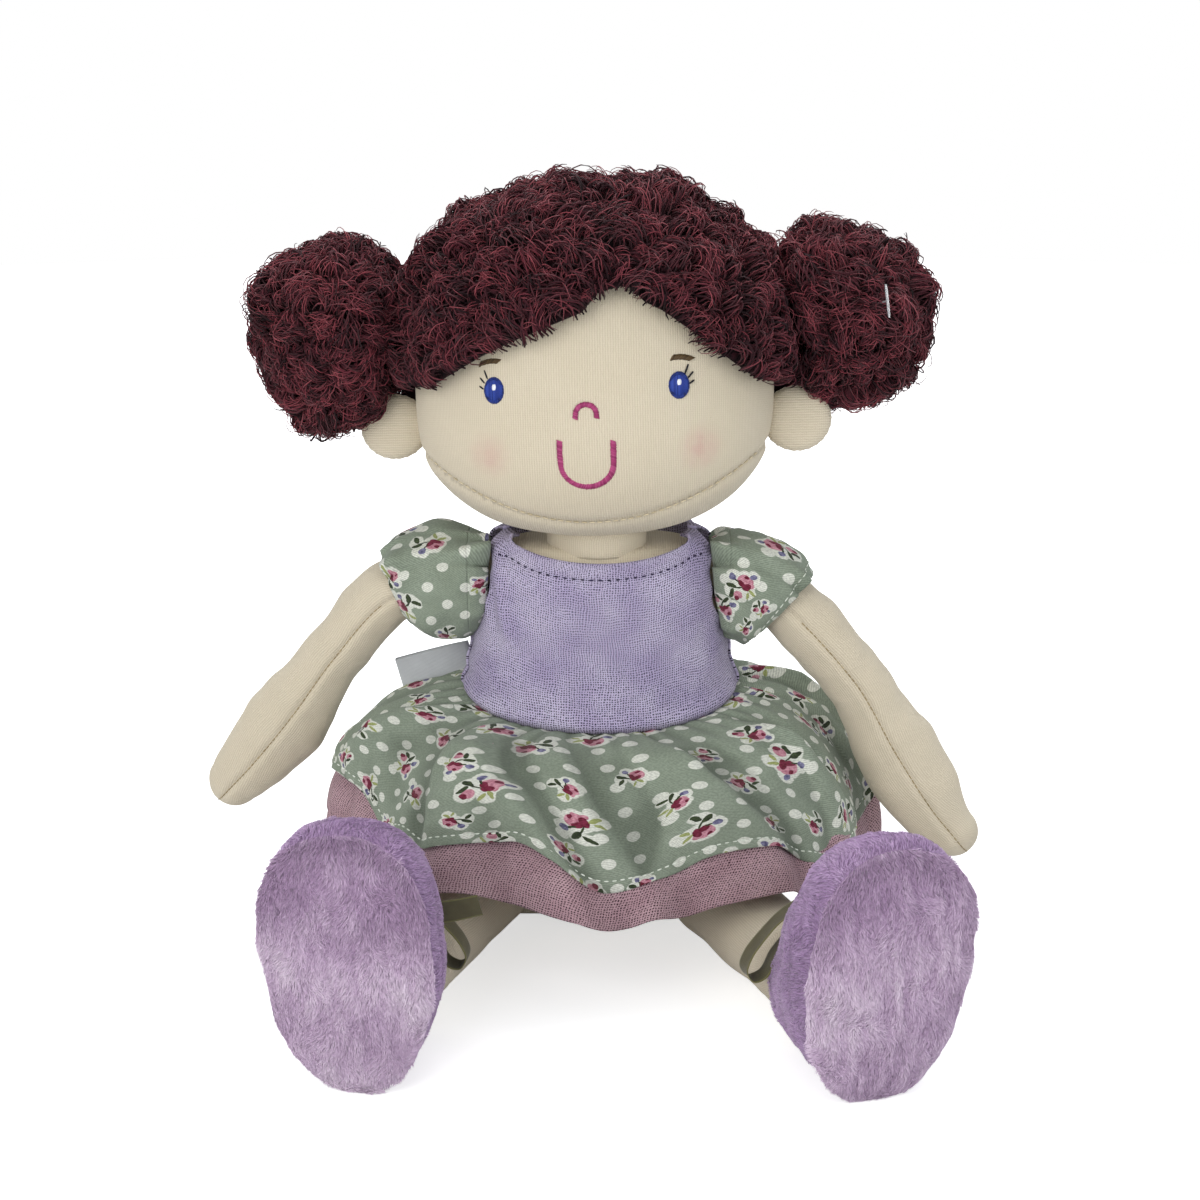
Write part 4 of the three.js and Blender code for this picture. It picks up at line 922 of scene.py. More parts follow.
for side, sign in (("right", -1), ("left", 1)):
    pivot = np.array([sign * shoulder_across, 0, shoulder_height])
    route = smooth_route(np.array(arm_routes[side]) * mm + pivot, 120)
    arm_lines[side] = route
    shape = limb_grid(route, arm_radii, arm_flat_shares, (0, 1, 0), 4.5 * mm)
    grid, normal, along, angles, radius, tip = shape
    around = turned_from(angles, angles[np.argmin(normal[60, :, 1])])
    beside = around[None] * np.maximum(radius[:, None], 3 * mm)
    lips = bell(np.abs(beside) - 2.4 * mm, 1.4 * mm)
    groove = -arm_seam_depth * bell(beside, 0.8 * mm) + arm_seam_lip * lips
    waves = np.sin(along[:, None] * 2 * math.pi / arm_pucker_length + 2.2 * np.sin(along[:, None] * 140))
    groove = groove + arm_pucker * waves * bell(beside, 2.6 * mm) * np.sign(beside)
    fade = np.clip((along[-1] - along) / (9 * mm), 0, 1)[:, None]
    sag = 0.42 * mm * ripple(grid, 13 * mm, 21 + sign) + 0.2 * mm * ripple(grid, 6 * mm, 31 + sign)
    grid = grid + normal * (groove * fade + sag)[..., None]
    arm = surface(f"arm_{side}_skin", grid, cloth_jersey, wrap=True, first=grid[0].mean(0), last=tip)
    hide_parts(f"arm_cover_{side}", f"arm_stuffing_{side}")
    arms[side] = arm
    column = int(np.argmin(np.abs(around)))
    seam_way = normal[26:-2, column]
    line = grid[26:-2, column] + seam_way * 0.12 * mm
    seam = stitch_row(
        f"arm_seam_{side}", line, seam_way, 2.0 * mm, 1.75 * mm, 0.36 * mm, seam_thread, f"arm_{side}"
    )
    # The stitched tab that holds the arm: a small pad of jersey with its stem sewn into the side.
    rows = []
    tab_turns = round_turns(48)
    for x, r in tab_outline:
        ring = np.stack([np.full(48, sign * x), r * np.cos(tab_turns), sign * r * np.sin(tab_turns)], 1)
        rows.append(ring * mm + pivot)
    rows = np.array(rows)
    rows = rows + ripple(rows, 5 * mm, 41)[..., None] * 0.12 * mm
    tab_ends = {"first": rows[0].mean(0), "last": rows[-1].mean(0)}
    tab = surface(f"shoulder_pad_{side}", rows, cloth_jersey, wrap=True, **tab_ends)
    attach(tab, f"shoulder_{side}")
    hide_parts(f"shoulder_tab_{side}")

# Legs: stuffed jersey legs, a little thicker at the thigh, with a seam below and soft creases
# round them where the slippers are sewn on.
leg_lines = {}
leg_length = 106 * mm
leg_radii = np.array([15.2, 15.3, 14.9, 14.5, 14]) * mm
hip_across = 41
hip_height = 17.5
ankle_height = 21 * mm
thigh_behind_hip = 11 * mm
for side, sign, stagger, splay in (("right", -1, 0, 17.4), ("left", 1, 8, 20.4)):
    pivot = np.array([sign * hip_across, -stagger, hip_height]) * mm
    leg_way = np.array([sign * math.sin(math.radians(splay)), -math.cos(math.radians(splay)), 0])
    ankle = pivot + leg_way * leg_length
    ankle[2] = ankle_height
    leg_lines[side] = (pivot, ankle)
    route = np.linspace(pivot, ankle, 80)
    shape = limb_grid(route, leg_radii, [1, 1], (0, 0, 1), -thigh_behind_hip)
    grid, normal, along, angles, radius, tip = shape
    rounded = np.where(along < 0, np.sqrt(np.clip(1 - (along / (16 * mm)) ** 2, 0, 1)), 1)[:, None, None]
    spine = grid.mean(1, keepdims=True)
    grid = spine + (grid - spine) * rounded
    beside = turned_from(angles, -math.pi / 2)[None] * 14 * mm
    folds = np.sin(along[:, None] * 2 * math.pi / (7 * mm)) * bell(along[:, None] - 78 * mm, 12 * mm)
    groove = -0.7 * mm * bell(beside, 0.9 * mm)
    relief = groove + 0.3 * mm * folds + 0.3 * mm * ripple(grid, 14 * mm, 51 + sign)
    grid = grid + normal * relief[..., None]
    leg = surface(f"leg_{side}_skin", grid, cloth_jersey, wrap=True, first=grid[0].mean(0), last=tip)
    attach(leg, f"leg_{side}")
    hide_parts(f"leg_cover_{side}", f"leg_stuffing_{side}")

# Slippers: round stuffed feet of lilac plush. An upper goes round from the ankle to a sole panel
# that faces forward, in a slightly paler cut, and the short pile lies down towards the heel.
plush_base = Shader("lilac_base", 0.95, sheen=0.3)
plush_patch = plush_base.noise(plush_base.object_place(), 160, 3)
plush_base.colour(plush_base.mix(plush_patch, "977b9f", "b497bb"))
plush_base.bump(plush_base.noise(plush_base.object_place(), 1400), 0.5 * mm)
upper_pile = strand_material("lilac_pile", ["8e7098", "b092ba", "caaed2"], 0.8, 0.75, 0.5)
sole_pile = strand_material("pale_lilac_pile", ["ae92b2", "d0b9d2", "e6d7e6"], 0.8, 0.78, 0.5)
foot_half_width = 28.5 * mm
foot_length = 88 * mm
foot_depth = 41 * mm
foot_forward = 25 * mm
foot_floor = 0.15 * mm
throat_radius = 14.2 * mm
sole_swell = 4.6 * mm
sole_heart = 43.2 * mm
foot_poses = {"right": (8, 4, 1.0), "left": (17, 9, 0.965)}
foot_shares = np.array(
    [[0, 0.94, 0.97], [0.16, 1, 1], [0.45, 0.98, 0.96], [0.7, 0.88, 0.82], [0.88, 0.8, 0.66], [1, 0.74, 0.54]]
)


def foot_ring(depth_share, width_share, height_share, angles, grow=0.0):
    """One outline of the foot, heel down, drawn from the front: narrower towards the heel, and leaning
    outwards at the toe about the ankle."""
    across = np.sign(np.cos(angles)) * np.abs(np.cos(angles)) ** (2 / 2.3)
    rise = np.sign(np.sin(angles)) * np.abs(np.sin(angles)) ** (2 / 2.3)
    half_width = foot_half_width * width_share + grow
    half_height = foot_length / 2 * height_share + grow
    middle = foot_length / 2 * height_share
    x = half_width * (1 + 0.1 * np.sin(angles)) * across
    z = (middle + half_height * rise) * foot_tall - ankle_height
    lean_cos, lean_sin = math.cos(foot_lean), math.sin(foot_lean)
    x, z = x * lean_cos + z * lean_sin, z * lean_cos - x * lean_sin
    z = np.maximum(z + ankle_height, foot_floor)
    return np.stack([x, np.full_like(x, depth_share * foot_depth), z], 1)


def moved(points, place):
    """Points drawn for a foot that faces straight ahead, at that foot's place and turn."""
    return points @ place[:3, :3].T + place[:3, 3]


def pile(name, grid, normal, count, lay, length, material, seed, place, painted_shade_at=None):
    """Short plush fibres over a surface, leaning along lay and parted into soft streaks that are also lighter
    and darker as painted sheen.
    """
    dice = np.random.default_rng(seed)
    columns = grid.shape[1]
    steps_u = np.linalg.norm(np.roll(grid, -1, 1)[:-1] - grid[:-1], axis=2)
    steps_v = np.linalg.norm(grid[1:] - grid[:-1], axis=2)
    area = (steps_u * steps_v).ravel()
    pick = dice.choice(len(area), count, p=area / area.sum())
    i, j = pick // columns, pick % columns
    a, b = dice.uniform(size=(2, count, 1))
    after = (j + 1) % columns

    def mixed(rows):
        near = rows[i, j] * (1 - a) + rows[i, after] * a
        return near * (1 - b) + (rows[i + 1, j] * (1 - a) + rows[i + 1, after] * a) * b

    roots = mixed(grid)
    out = unit(mixed(normal))
    streak = ripple(roots * [1.6, 1, 0.45], 3.4 * mm, seed + 1)
    broad = ripple(roots, 16 * mm, seed + 2)
    sway = np.stack([ripple(roots, 7 * mm, seed + 3 + k) for k in range(3)], 1)
    way = lay(roots) + 0.5 * sway + dice.normal(size=roots.shape) * 0.22
    way = unit(way - (way * out).sum(1)[:, None] * out, 1e-9)
    t = np.linspace(0, 1, 4)[None, :, None]
    long = (length * (1 + 0.1 * streak) * dice.uniform(0.8, 1.15, count))[:, None, None]
    stand = (0.58 + 0.14 * streak)[:, None, None]
    paths = roots[:, None] + out[:, None] * long * stand * (t - 0.35 * t**2)
    paths = paths + way[:, None] * long * 0.95 * t**1.4
    paths[..., 2] = np.maximum(paths[..., 2], 0.02 * mm)
    # Each fibre's tone varies at random in broad patches, and its lighter and darker streaks are partly
    # painted sheen of the lying pile.
    shades = np.clip(0.5 + 0.13 * streak + 0.15 * broad + dice.normal(0, 0.12, count), 0, 1)
    # Painted shade, added where the given function asks for it.
    if painted_shade_at is not None:
        shades = np.clip(shades + painted_shade_at(roots), 0, 1)
    radii = 0.13 * mm * np.array([1, 1, 0.8, 0.25])
    return strands(name, moved(paths, place), radii, shades, material, sides=2)


def towards_heel(roots):
    """The upper's fibres lie back and away from the middle."""
    return np.stack([roots[:, 0] * 4, np.full(len(roots), 1.0), np.full(len(roots), -0.4)], 1)


def down_sole(roots):
    """The sole's fibres lie down, and fan out near the toe."""
    fan = roots[:, 0] * 8 * (roots[:, 2] > 64 * mm)
    return np.stack([fan, np.full(len(roots), -0.2), np.full(len(roots), -1.0)], 1)


def toe_painted_shade(roots):
    """How much darker the sole's fibres are towards the toe: painted shade."""
    return -0.42 * np.clip((roots[:, 2] - 46 * mm) / (22 * mm), 0, 1)


foot_places = {}
for side, sign in (("right", -1), ("left", 1)):
    toe_out, lean, foot_tall = foot_poses[side]
    angle = math.radians(toe_out * sign)
    foot_lean = math.radians(lean * sign)
    forward = np.array([math.sin(angle), -math.cos(angle), 0]) * foot_forward
    place = np.eye(4)
    place[:3, :3] = np.array(Matrix.Rotation(angle, 3, "Z"))
    place[:3, 3] = [*(leg_lines[side][1] + forward)[:2], 0]
    foot_places[side] = place
    angles = round_turns(120) - math.pi / 2
    upper_rows = [foot_ring(*shares, angles, -1.2 * mm) for shares in smooth_route(foot_shares, 60)]
    last = upper_rows[-1]
    throat_depth = last[0, 1]
    throat_across = throat_radius * np.cos(angles)
    throat_up = ankle_height + throat_radius * np.sin(angles)
    hole = np.stack([throat_across, np.full(120, throat_depth), throat_up], 1)
    for share in np.linspace(0, 1, 14)[1:]:
        ring = last * (1 - share) + hole * share
        ring[:, 1] = throat_depth + 1.6 * mm * math.sin(share * math.pi) - 2.5 * mm * share**2
        ring[:, 2] = np.maximum(ring[:, 2], foot_floor)
        upper_rows.append(ring)
    upper = np.array(upper_rows)
    round_way = np.roll(upper, -1, 1) - np.roll(upper, 1, 1)
    out = unit(np.cross(np.gradient(upper, axis=0), round_way), 1e-12)
    if (out[20] * (upper[20] - upper[20].mean(0))).sum() < 0:
        out = -out
    upper = upper + out * (0.5 * mm * ripple(upper, 12 * mm, 61 + sign) - 0.4 * mm)[..., None]
    upper[..., 2] = np.maximum(upper[..., 2], 0.1 * mm)
    skin = surface(f"slipper_upper_{side}_skin", moved(upper, place), plush_base.material, wrap=True)
    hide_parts(f"slipper_upper_{side}", f"slipper_stuffing_{side}")
    upper_fur = (48000, towards_heel, 1.9 * mm, upper_pile, 71 + sign, place)
    fur = pile(f"slipper_upper_{side}_pile", upper, out, *upper_fur)
    for piece in (skin, fur):
        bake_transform(piece)
    sole_rows = []
    sole_shares = np.linspace(1, 0.02, 46)
    edge = foot_ring(0, 0.935, 0.968, angles)
    heart = np.array([22 * mm * math.sin(foot_lean), 0, sole_heart])
    for share in sole_shares:
        ring = heart + (edge - heart) * share
        ring[:, 1] = 0.3 * mm - (1 - share**2.6) * sole_swell - 0.9 * mm * (1 - share**14)
        sole_rows.append(ring)
    sole = np.array(sole_rows)
    slope = np.clip((sole_shares - 0.75) / 0.25, 0, 1)[:, None] ** 2
    sole_out = np.full_like(sole, -1)
    sole_out[..., 0] = np.cos(angles) * slope * 1.2
    sole_out[..., 2] = np.sin(angles) * slope * 1.2
    sole_out = unit(sole_out)
    sole = sole + sole_out * (0.45 * mm * ripple(sole, 15 * mm, 81 + sign))[..., None]
    sole[..., 2] = np.maximum(sole[..., 2], 0.1 * mm)
    grid = moved(sole, place)
    panel = surface(f"slipper_sole_{side}_skin", grid, plush_base.material, wrap=True, last=grid[-1].mean(0))
    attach(panel, f"foot_{side}")
    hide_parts(f"slipper_sole_{side}")
    sole_fur = (60000, down_sole, 2.1 * mm, sole_pile, 91 + sign, place, toe_painted_shade)
    fur = pile(f"slipper_sole_{side}_pile", sole, sole_out, *sole_fur)
    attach(fur, f"foot_{side}")

# Dress bodice: front and back panels of crinkled lavender double gauze, seamed at the sides and
# shoulders, faced at the neckline with a row of dark topstitching and folded over the skirt seam.
torso_knots = np.array(
    [[38, 18, 0], [52, 33, 24], [46, 30, 87], [41.5, 27.5, 116], [40, 25, 138], [36, 20, 150]]
) * mm
torso_profile = smooth_route(torso_knots, 600)


def torso_at(height):
    """The body's half width and half depth at each height."""
    wide = np.interp(height, torso_profile[:, 2], torso_profile[:, 0])
    deep = np.interp(height, torso_profile[:, 2], torso_profile[:, 1])
    return wide, deep


def waist_height(angle):
    return (86 + 16 * (1 + np.sin(angle)) / 2) * mm


def gauze_material(name, threads, pinholes, pale, spacing, along, across, slubs):
    """Crinkled double gauze: open threads each way, a little wavy, with dark pinholes between them."""
    shader = Shader(name, 0.95, sheen=0.1)
    place = shader.cloth_place()
    for scale, sway in ((120.0, 0.0022), (520.0, 0.0006)):
        drift = shader.vector("MULTIPLY", shader.noise(place, scale, output="Color"), (sway, sway, 0.0))
        place = shader.vector("ADD", place, drift)
    split = shader.split(place)
    warp = shader.times(shader.waves(split[0], spacing), along)
    weft = shader.times(shader.waves(split[1], spacing * 0.95), across)
    slub = shader.ranged(shader.noise(place, 1300, 1, 0.4), 0.3, 0.7, -slubs, slubs)
    cover = shader.ranged(shader.plus(shader.math("MAXIMUM", warp, weft), slub), -0.44, 0.4)
    cloudy = shader.ranged(shader.noise(place, 60, 4), 0.3, 0.7)
    fuzz = shader.ranged(shader.noise(place, 2300), 0.3, 0.7)
    base = shader.mix(shader.times(cloudy, 0.6), threads, pale)
    base = shader.mix(shader.times(fuzz, 0.22), base, pinholes)
    # Painted shade: in the creases between folds the colour goes towards the pinholes' dark, as deep as a
    # per-point attribute says.
    folded = shader.add("Attribute", attribute_name="painted_fold_shade").outputs["Fac"]
    shader.colour(shader.mix(folded, shader.mix(cover, pinholes, base), pinholes))
    crinkle = shader.noise(place, 150, 3, 0.55)
    height = shader.plus(shader.times(cover, 0.35), shader.times(crinkle, 0.9))
    shader.bump(height, 0.7 * mm, 0.8)
    return shader.material


def thick(piece, depth, offset=-1.0):
    """Gives a sheet its thickness, inwards from the modelled face."""
    solid = piece.modifiers.new("cloth", "SOLIDIFY")
    solid.thickness = depth
    solid.offset = offset
    solid.use_even_offset = False
    return piece


lavender = gauze_material("lavender_gauze", "b0a5c6", "1f1530", "dcd5ea", 0.88 * mm, 0.8, 1.0, 0.42)
bodice_gap = 1.6 * mm
gauze_thickness = 1.0 * mm
waist_fold = 1.5 * mm
waist_seam_depth = 0.9 * mm
neck_edge_rise = 0.4 * mm
facing_step = 0.35 * mm
gauze_slack = 0.62 * mm
armhole_tuck_place = 35.5 * mm
armhole_tuck_height = 128 * mm
strap_inner_edge = 29 * mm
strap_lean = 8.5 * mm
armhole_height = 132 * mm
armhole_half_height = 17 * mm
armhole_half_depth = 11.5 * mm
shoulder_top = 155
collar_top = 150.3 * mm
neckline_half_width = 34 * mm
neckline = {"front": (-1, 144.5), "back": (1, 148)}
for part, (facing, neck_low) in neckline.items():
    rows, columns = 96, 150
    s = np.linspace(-1, 1, columns)
    t = np.linspace(0, 1, rows)[:, None]
    z = np.full((rows, columns), 120 * mm)
    # The panel's top edge and its armholes depend on each other, so a few rounds settle them.
    for _ in range(12):
        wide, deep = torso_at(z)
        hole = np.clip(1 - ((z - armhole_height) / armhole_half_height) ** 2, 0, 1)
        edge_y = armhole_half_depth * np.sqrt(hole)
        most = math.pi / 2 - np.arcsin(np.clip(edge_y / (deep + bodice_gap), 0, 0.98))
        turn = facing * math.pi / 2 - facing * s * most
        x = (wide + bodice_gap) * np.cos(turn)
        scoop = np.sqrt(np.clip(1 - (x / neckline_half_width) ** 2, 0, 1))
        top = np.minimum((shoulder_top - (shoulder_top - neck_low) * scoop) * mm, collar_top)
        z = waist_height(turn) * (1 - t) + top * t
    wide, deep = torso_at(z)
    fold = waist_fold * bell(t - 0.05, 0.045) - waist_seam_depth * bell(t, 0.02)
    fold = fold + neck_edge_rise * bell(t - 0.985, 0.02)
    fold = fold + facing_step * np.clip((t - 0.905) / 0.02, 0, 1) - facing_step * bell(t - 0.9, 0.012)
    base = np.stack([(wide + bodice_gap) * np.cos(turn), (deep + bodice_gap) * np.sin(turn), z], 2)
    away = unit(np.stack([np.cos(turn), np.sin(turn) * 1.3, np.zeros_like(z)], 2))
    tug = np.abs(s) ** 6 * np.sin(z / mm * 2 * math.pi / 11 + 1.2 * s)
    slack = 0.5 * ripple(base * [1, 1, 1.7], 15 * mm, 101) + 0.2 * ripple(base, 6 * mm, 102) + 0.7 * tug
    tuck_line = base[..., 0] + armhole_tuck_place + 0.14 * (base[..., 2] - armhole_tuck_height)
    tuck_fade = bell(base[..., 2] - 132 * mm, 15 * mm) * (facing < 0)
    tuck = 2.6 * bell(tuck_line - 2.4 * mm, 2.2 * mm) - 2.4 * bell(tuck_line + 1.2 * mm, 1.5 * mm)
    slack += tuck * tuck_fade
    relief = fold + slack * gauze_slack * np.clip(t * 8, 0, 1) * np.clip((1 - t) * 12, 0, 1) + 0.7 * mm
    grid = base + away * relief[..., None]
    over = np.clip((t - 0.9) / 0.1, 0, 1) * np.clip((np.abs(x) - strap_inner_edge) / (6 * mm), 0, 1)
    grid[..., 0] -= np.sign(x) * over**1.7 * strap_lean
    grid[..., 2] += 0.8 * mm * over + 1.3 * mm * np.sin(over * math.pi)
    bodice = thick(surface(f"bodice_{part}_panel", grid, lavender), gauze_thickness)
    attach(bodice, "torso")
    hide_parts(f"bodice_{part}")
    stitch_line, stitch_way = grid[-10] + away[-10] * 0.2 * mm, away[-10]
    topstitch = strand_material(f"violet_thread_{part}", ["120b1e", "1d1430", "32264a"], 0.7, 0.9)
    keep = np.abs(grid[-10, :, 0]) < 35 * mm
    thread = (3.0 * mm, 1.25 * mm, 0.6 * mm, topstitch, "torso")
    stitched = stitch_row(f"neckline_stitches_{part}", stitch_line[keep], stitch_way[keep], *thread)


# Skirt and petticoat: a gathered skirt of printed sage cotton over a longer one of mauve gauze.
# Both fall from the waist seam over the lap in uneven soft pleats, each with a narrow stitched hem.
def print_material(name):
    """Sage cotton with fine twill lines and a small all-over print: white spots, and loose sprigs
    that are each a white-edged spray of rosy blooms, leaves and a bud."""
    sprig_spacing = 18.6 * mm
    spot_spacing = 9.2 * mm
    twill_spacing = 0.8 * mm
    bleed = 1.5 * mm
    shader = Shader(name, 0.85, sheen=0.08)
    flat = shader.cloth_place()
    wobble = shader.vector("SUBTRACT", shader.noise(flat, 330.0, output="Color"), (0.5, 0.5, 0.5))
    place = shader.vector("ADD", flat, shader.vector("MULTIPLY", wobble, (bleed,) * 3))

    def cells(spacing, turn, randomness, source):
        mapping = {"Vector": source, "Rotation": (0, 0, turn), "Scale": (1 / spacing,) * 3}
        turned = shader.add("Mapping", mapping, vector_type="POINT").outputs[0]
        level = shader.vector("MULTIPLY", turned, (1, 1, 0))
        inputs = {"Vector": level, "Scale": 1.0, "Randomness": randomness}
        cell = shader.add("TexVoronoi", inputs, voronoi_dimensions="2D").outputs
        away = shader.vector("SUBTRACT", level, cell["Position"])
        return shader.vector("MULTIPLY", away, (spacing / mm,) * 3), cell["Color"]

    local, dice = cells(sprig_spacing, 0.5, 0.5, place)
    lots = shader.add("SeparateColor", {0: dice}).outputs
    whirl = {"Vector": local, "Angle": shader.times(lots[0], 6.283)}
    local = shader.add("VectorRotate", whirl, rotation_type="Z_AXIS").outputs[0]
    size = shader.ranged(lots[1], 0.0, 1.0, 1.16, 0.72)
    local = shader.add("VectorMath", {0: local, "Scale": size}, operation="SCALE").outputs[0]
    spray = shader.ranged(lots[2], 0.42, 0.46)

    def blob(x, y, wide, tall, turn=0.0, only=None):
        mapping = {"Vector": local, "Location": (x, y, 0), "Rotation": (0, 0, turn), "Scale": (wide, tall, 1)}
        inside = shader.add("Mapping", mapping, vector_type="TEXTURE").outputs[0]
        mask = shader.ranged(shader.far(inside), 0.93, 1.07, 1.0, 0.0)
        return mask if only is None else shader.times(mask, only)

    def any_of(*masks):
        total = masks[0]
        for mask in masks[1:]:
            total = shader.math("MAXIMUM", total, mask)
        return total

    halo = any_of(
        blob(-0.7, 1.1, 3.3, 2.9),
        blob(2.8, -2.2, 2.4, 2.1, only=spray),
        blob(-3.2, -1.3, 2.0, 1.9),
        blob(2.6, 1.7, 2.5, 1.9, 0.5),
        blob(0.2, -3.1, 2.9, 1.7, -0.1),
        blob(-1.8, 3.6, 1.9, 1.6, only=spray),
    )
    rose = any_of(
        blob(-1.7, 0.9, 1.35, 1.7, 0.3),
        blob(-0.7, 2.2, 1.45, 1.0, -0.3),
        blob(2.4, -1.7, 1.35, 1.2, only=spray),
        blob(0.5, 2.5, 0.8, 0.7),
    )
    wine = any_of(
        blob(0.5, 1.2, 0.95, 1.3, 0.4),
        blob(-0.7, 0.1, 1.25, 0.75, 0.5),
        blob(3.3, -2.4, 0.9, 0.7, 0.3, only=spray),
        blob(-2.1, 1.9, 0.5, 0.7, -0.4),
    )
    leaf = any_of(
        blob(-0.9, -2.8, 1.5, 0.68, 0.95),
        blob(1.4, -3.2, 1.45, 0.62, -0.5),
        blob(0.1, -1.3, 0.26, 1.5, -0.25),
        blob(-1.9, -0.9, 1.2, 0.24, 0.5),
    )
    young = any_of(blob(2.3, 2.3, 1.35, 0.5, 0.75), blob(3.1, 0.8, 1.2, 0.42, -0.3))
    bud = any_of(blob(-3.2, -1.5, 1.0, 0.85, 0.4), blob(-2.0, 3.6, 0.7, 0.9, only=spray))
    spot_place, _ = cells(spot_spacing, 0.78, 0.16, flat)
    spots = shader.ranged(shader.far(spot_place), 1.78, 1.98, 1.0, 0.0)
    ink = shader.ranged(shader.noise(flat, 800), 0.3, 0.7)
    base = shader.mix(shader.noise(flat, 90, 3), "7b8675", "95a08f")
    base = shader.mix(shader.times(any_of(spots, halo), 0.95), base, "d9dbd0")
    base = shader.mix(rose, base, shader.mix(ink, "b06f80", "cf98a4"))
    base = shader.mix(wine, base, shader.mix(ink, "5f1629", "7c2942"))
    base = shader.mix(leaf, base, shader.mix(ink, "232c1c", "3f4c30"))
    base = shader.mix(young, base, "98a066")
    base = shader.mix(bud, base, shader.mix(ink, "4d4b6c", "8886a4"))
    split = shader.split(flat)
    twill = shader.waves(shader.plus(split[0], shader.times(split[1], 0.8)), twill_spacing)
    uneven = shader.plus(twill, shader.ranged(shader.noise(flat, 1500, 1), 0.3, 0.7, -0.8, 0.8))
    base = shader.mix(1.0, base, shader.ranged(uneven, -1.4, 1.2, 0.72, 1.08), "MULTIPLY")
    # Painted shade: in the creases between folds the print goes darker, as deep as a per-point attribute
    # says.
    folded = shader.add("Attribute", attribute_name="painted_fold_shade").outputs["Fac"]
    shader.colour(shader.mix(folded, base, "262d22"))
    shader.bump(twill, 0.07 * mm, 0.7)
    return shader.material


sprigged = print_material("sage_print")
hem_white = strand_material("hem_thread", ["b9c2b2", "d6dccf", "eceee6"], 0.7, 0.9)
skirt_side = 92 * mm
skirt_front = 70 * mm
skirt_back = 58 * mm
skirt_thickness = 0.6 * mm
petticoat_thickness = 0.7 * mm
pleat_depth = 2.7 * mm
pleat_middle = 2.9 * mm
hem_shares = [(0, -1), (0.6, -0.86), (0.95, -0.4), (1, 0.1), (0.72, 0.74), (0, 1)]
hem_shares = np.array(hem_shares + [(-x, y) for x, y in hem_shares[-2:0:-1]])
hem_reach = np.where(hem_shares[:, 1] < 0, skirt_front, skirt_back)
hem_plan = hem_shares * np.stack([np.full(len(hem_shares), skirt_side), hem_reach], 1)
hem_route = smooth_route(np.vstack([hem_plan[-2:], hem_plan, hem_plan[:3]]), 1400)
hem_angle = np.unwrap(np.arctan2(hem_route[:, 1] / skirt_back, hem_route[:, 0] / skirt_side))
skirt_heights = (
    (-180, 63), (-168, 67), (-160, 68), (-154, 59), (-150, 56), (-140, 61), (-134, 55), (-120, 58.5),
    (-110, 58), (-101, 52), (-93, 46), (-88, 44), (-80, 45), (-70, 48), (-60, 54), (-50, 56), (-43, 54.5),
    (-35, 46), (-28, 42), (-12, 45), (10, 48), (40, 38), (65, 27), (90, 24), (115, 28), (140, 42), (160, 55),
)
petticoat_heights = (
    (-180, 47), (-168, 49), (-150, 44), (-130, 42), (-120, 42), (-112, 39), (-102, 35), (-90, 33), (-77, 34),
    (-66, 35.5), (-54, 40), (-44, 41.5), (-33, 37.5), (-12, 31), (10, 31), (30, 26), (60, 14), (90, 8),
    (120, 14), (150, 30),
)
hem_waves = (
    (-180, 1), (-158, -2.5), (-136, 5), (-112, -4), (-93, 5), (-66, -4), (-38, 4.5), (-14, -3), (8, 3),
    (34, -3.5), (62, 3.5), (92, -3), (118, 4), (146, -3.5),
)
round_degrees = np.arange(-180, 180, 0.5)


def smooth_table(table, width=5.0):
    """A table of values by angle in degrees, read all round and rounded off over a few degrees."""
    at, value = np.array(table, float).T
    read = np.interp(round_degrees, at, value, period=360)
    kernel = bell(np.arange(-30, 31) * 0.5, width)
    return np.convolve(np.concatenate([read[-30:], read, read[:30]]), kernel / kernel.sum(), "valid")


skirt_table = smooth_table(skirt_heights, 3.5)
petticoat_table = smooth_table(petticoat_heights)
wave_table = smooth_table(hem_waves, 7.0)


def hem_at(angle, table, grow):
    """The hem's place at each angle round the body, with the dips, rises and waves of its edge."""
    start = hem_angle[0]
    wound = start + np.mod(angle - start, 2 * math.pi)
    place = read_along(wound, hem_angle, hem_route)
    plan = np.degrees(np.arctan2(place[..., 1], place[..., 0]))
    height = np.interp(plan, round_degrees, table, period=360) * mm
    wave = np.interp(plan, round_degrees, wave_table, period=360) * mm + grow
    place = place * (1 + wave / np.linalg.norm(place, axis=-1))[..., None]
    return np.concatenate([place, height[..., None]], -1)


dice = np.random.default_rng(17)
pleat_count = 21
pleat_places = np.arange(pleat_count) + dice.uniform(-0.34, 0.34, pleat_count)
pleat_angles = np.sort(pleat_places / pleat_count * 2 * math.pi)
pleat_heights = dice.uniform(0.5, 1.6, pleat_count)
pleat_starts = dice.uniform(0.0, 0.3, pleat_count)
pleat_widths = dice.uniform(0.07, 0.15, pleat_count)
pleat_drifts = dice.uniform(-0.3, 0.3, pleat_count)
deep_folds = (
    (-128, -98, 3.6, 0.2), (-78, -60, 2.8, 0.2), (-152, -164, 2.6, 0.16), (-44, -28, 3.0, 0.2),
    (-106, -84, 1.8, 0.13), (20, 6, 3.0, 0.2), (75, 92, 3.2, 0.22), (140, 122, 3.2, 0.22),
)


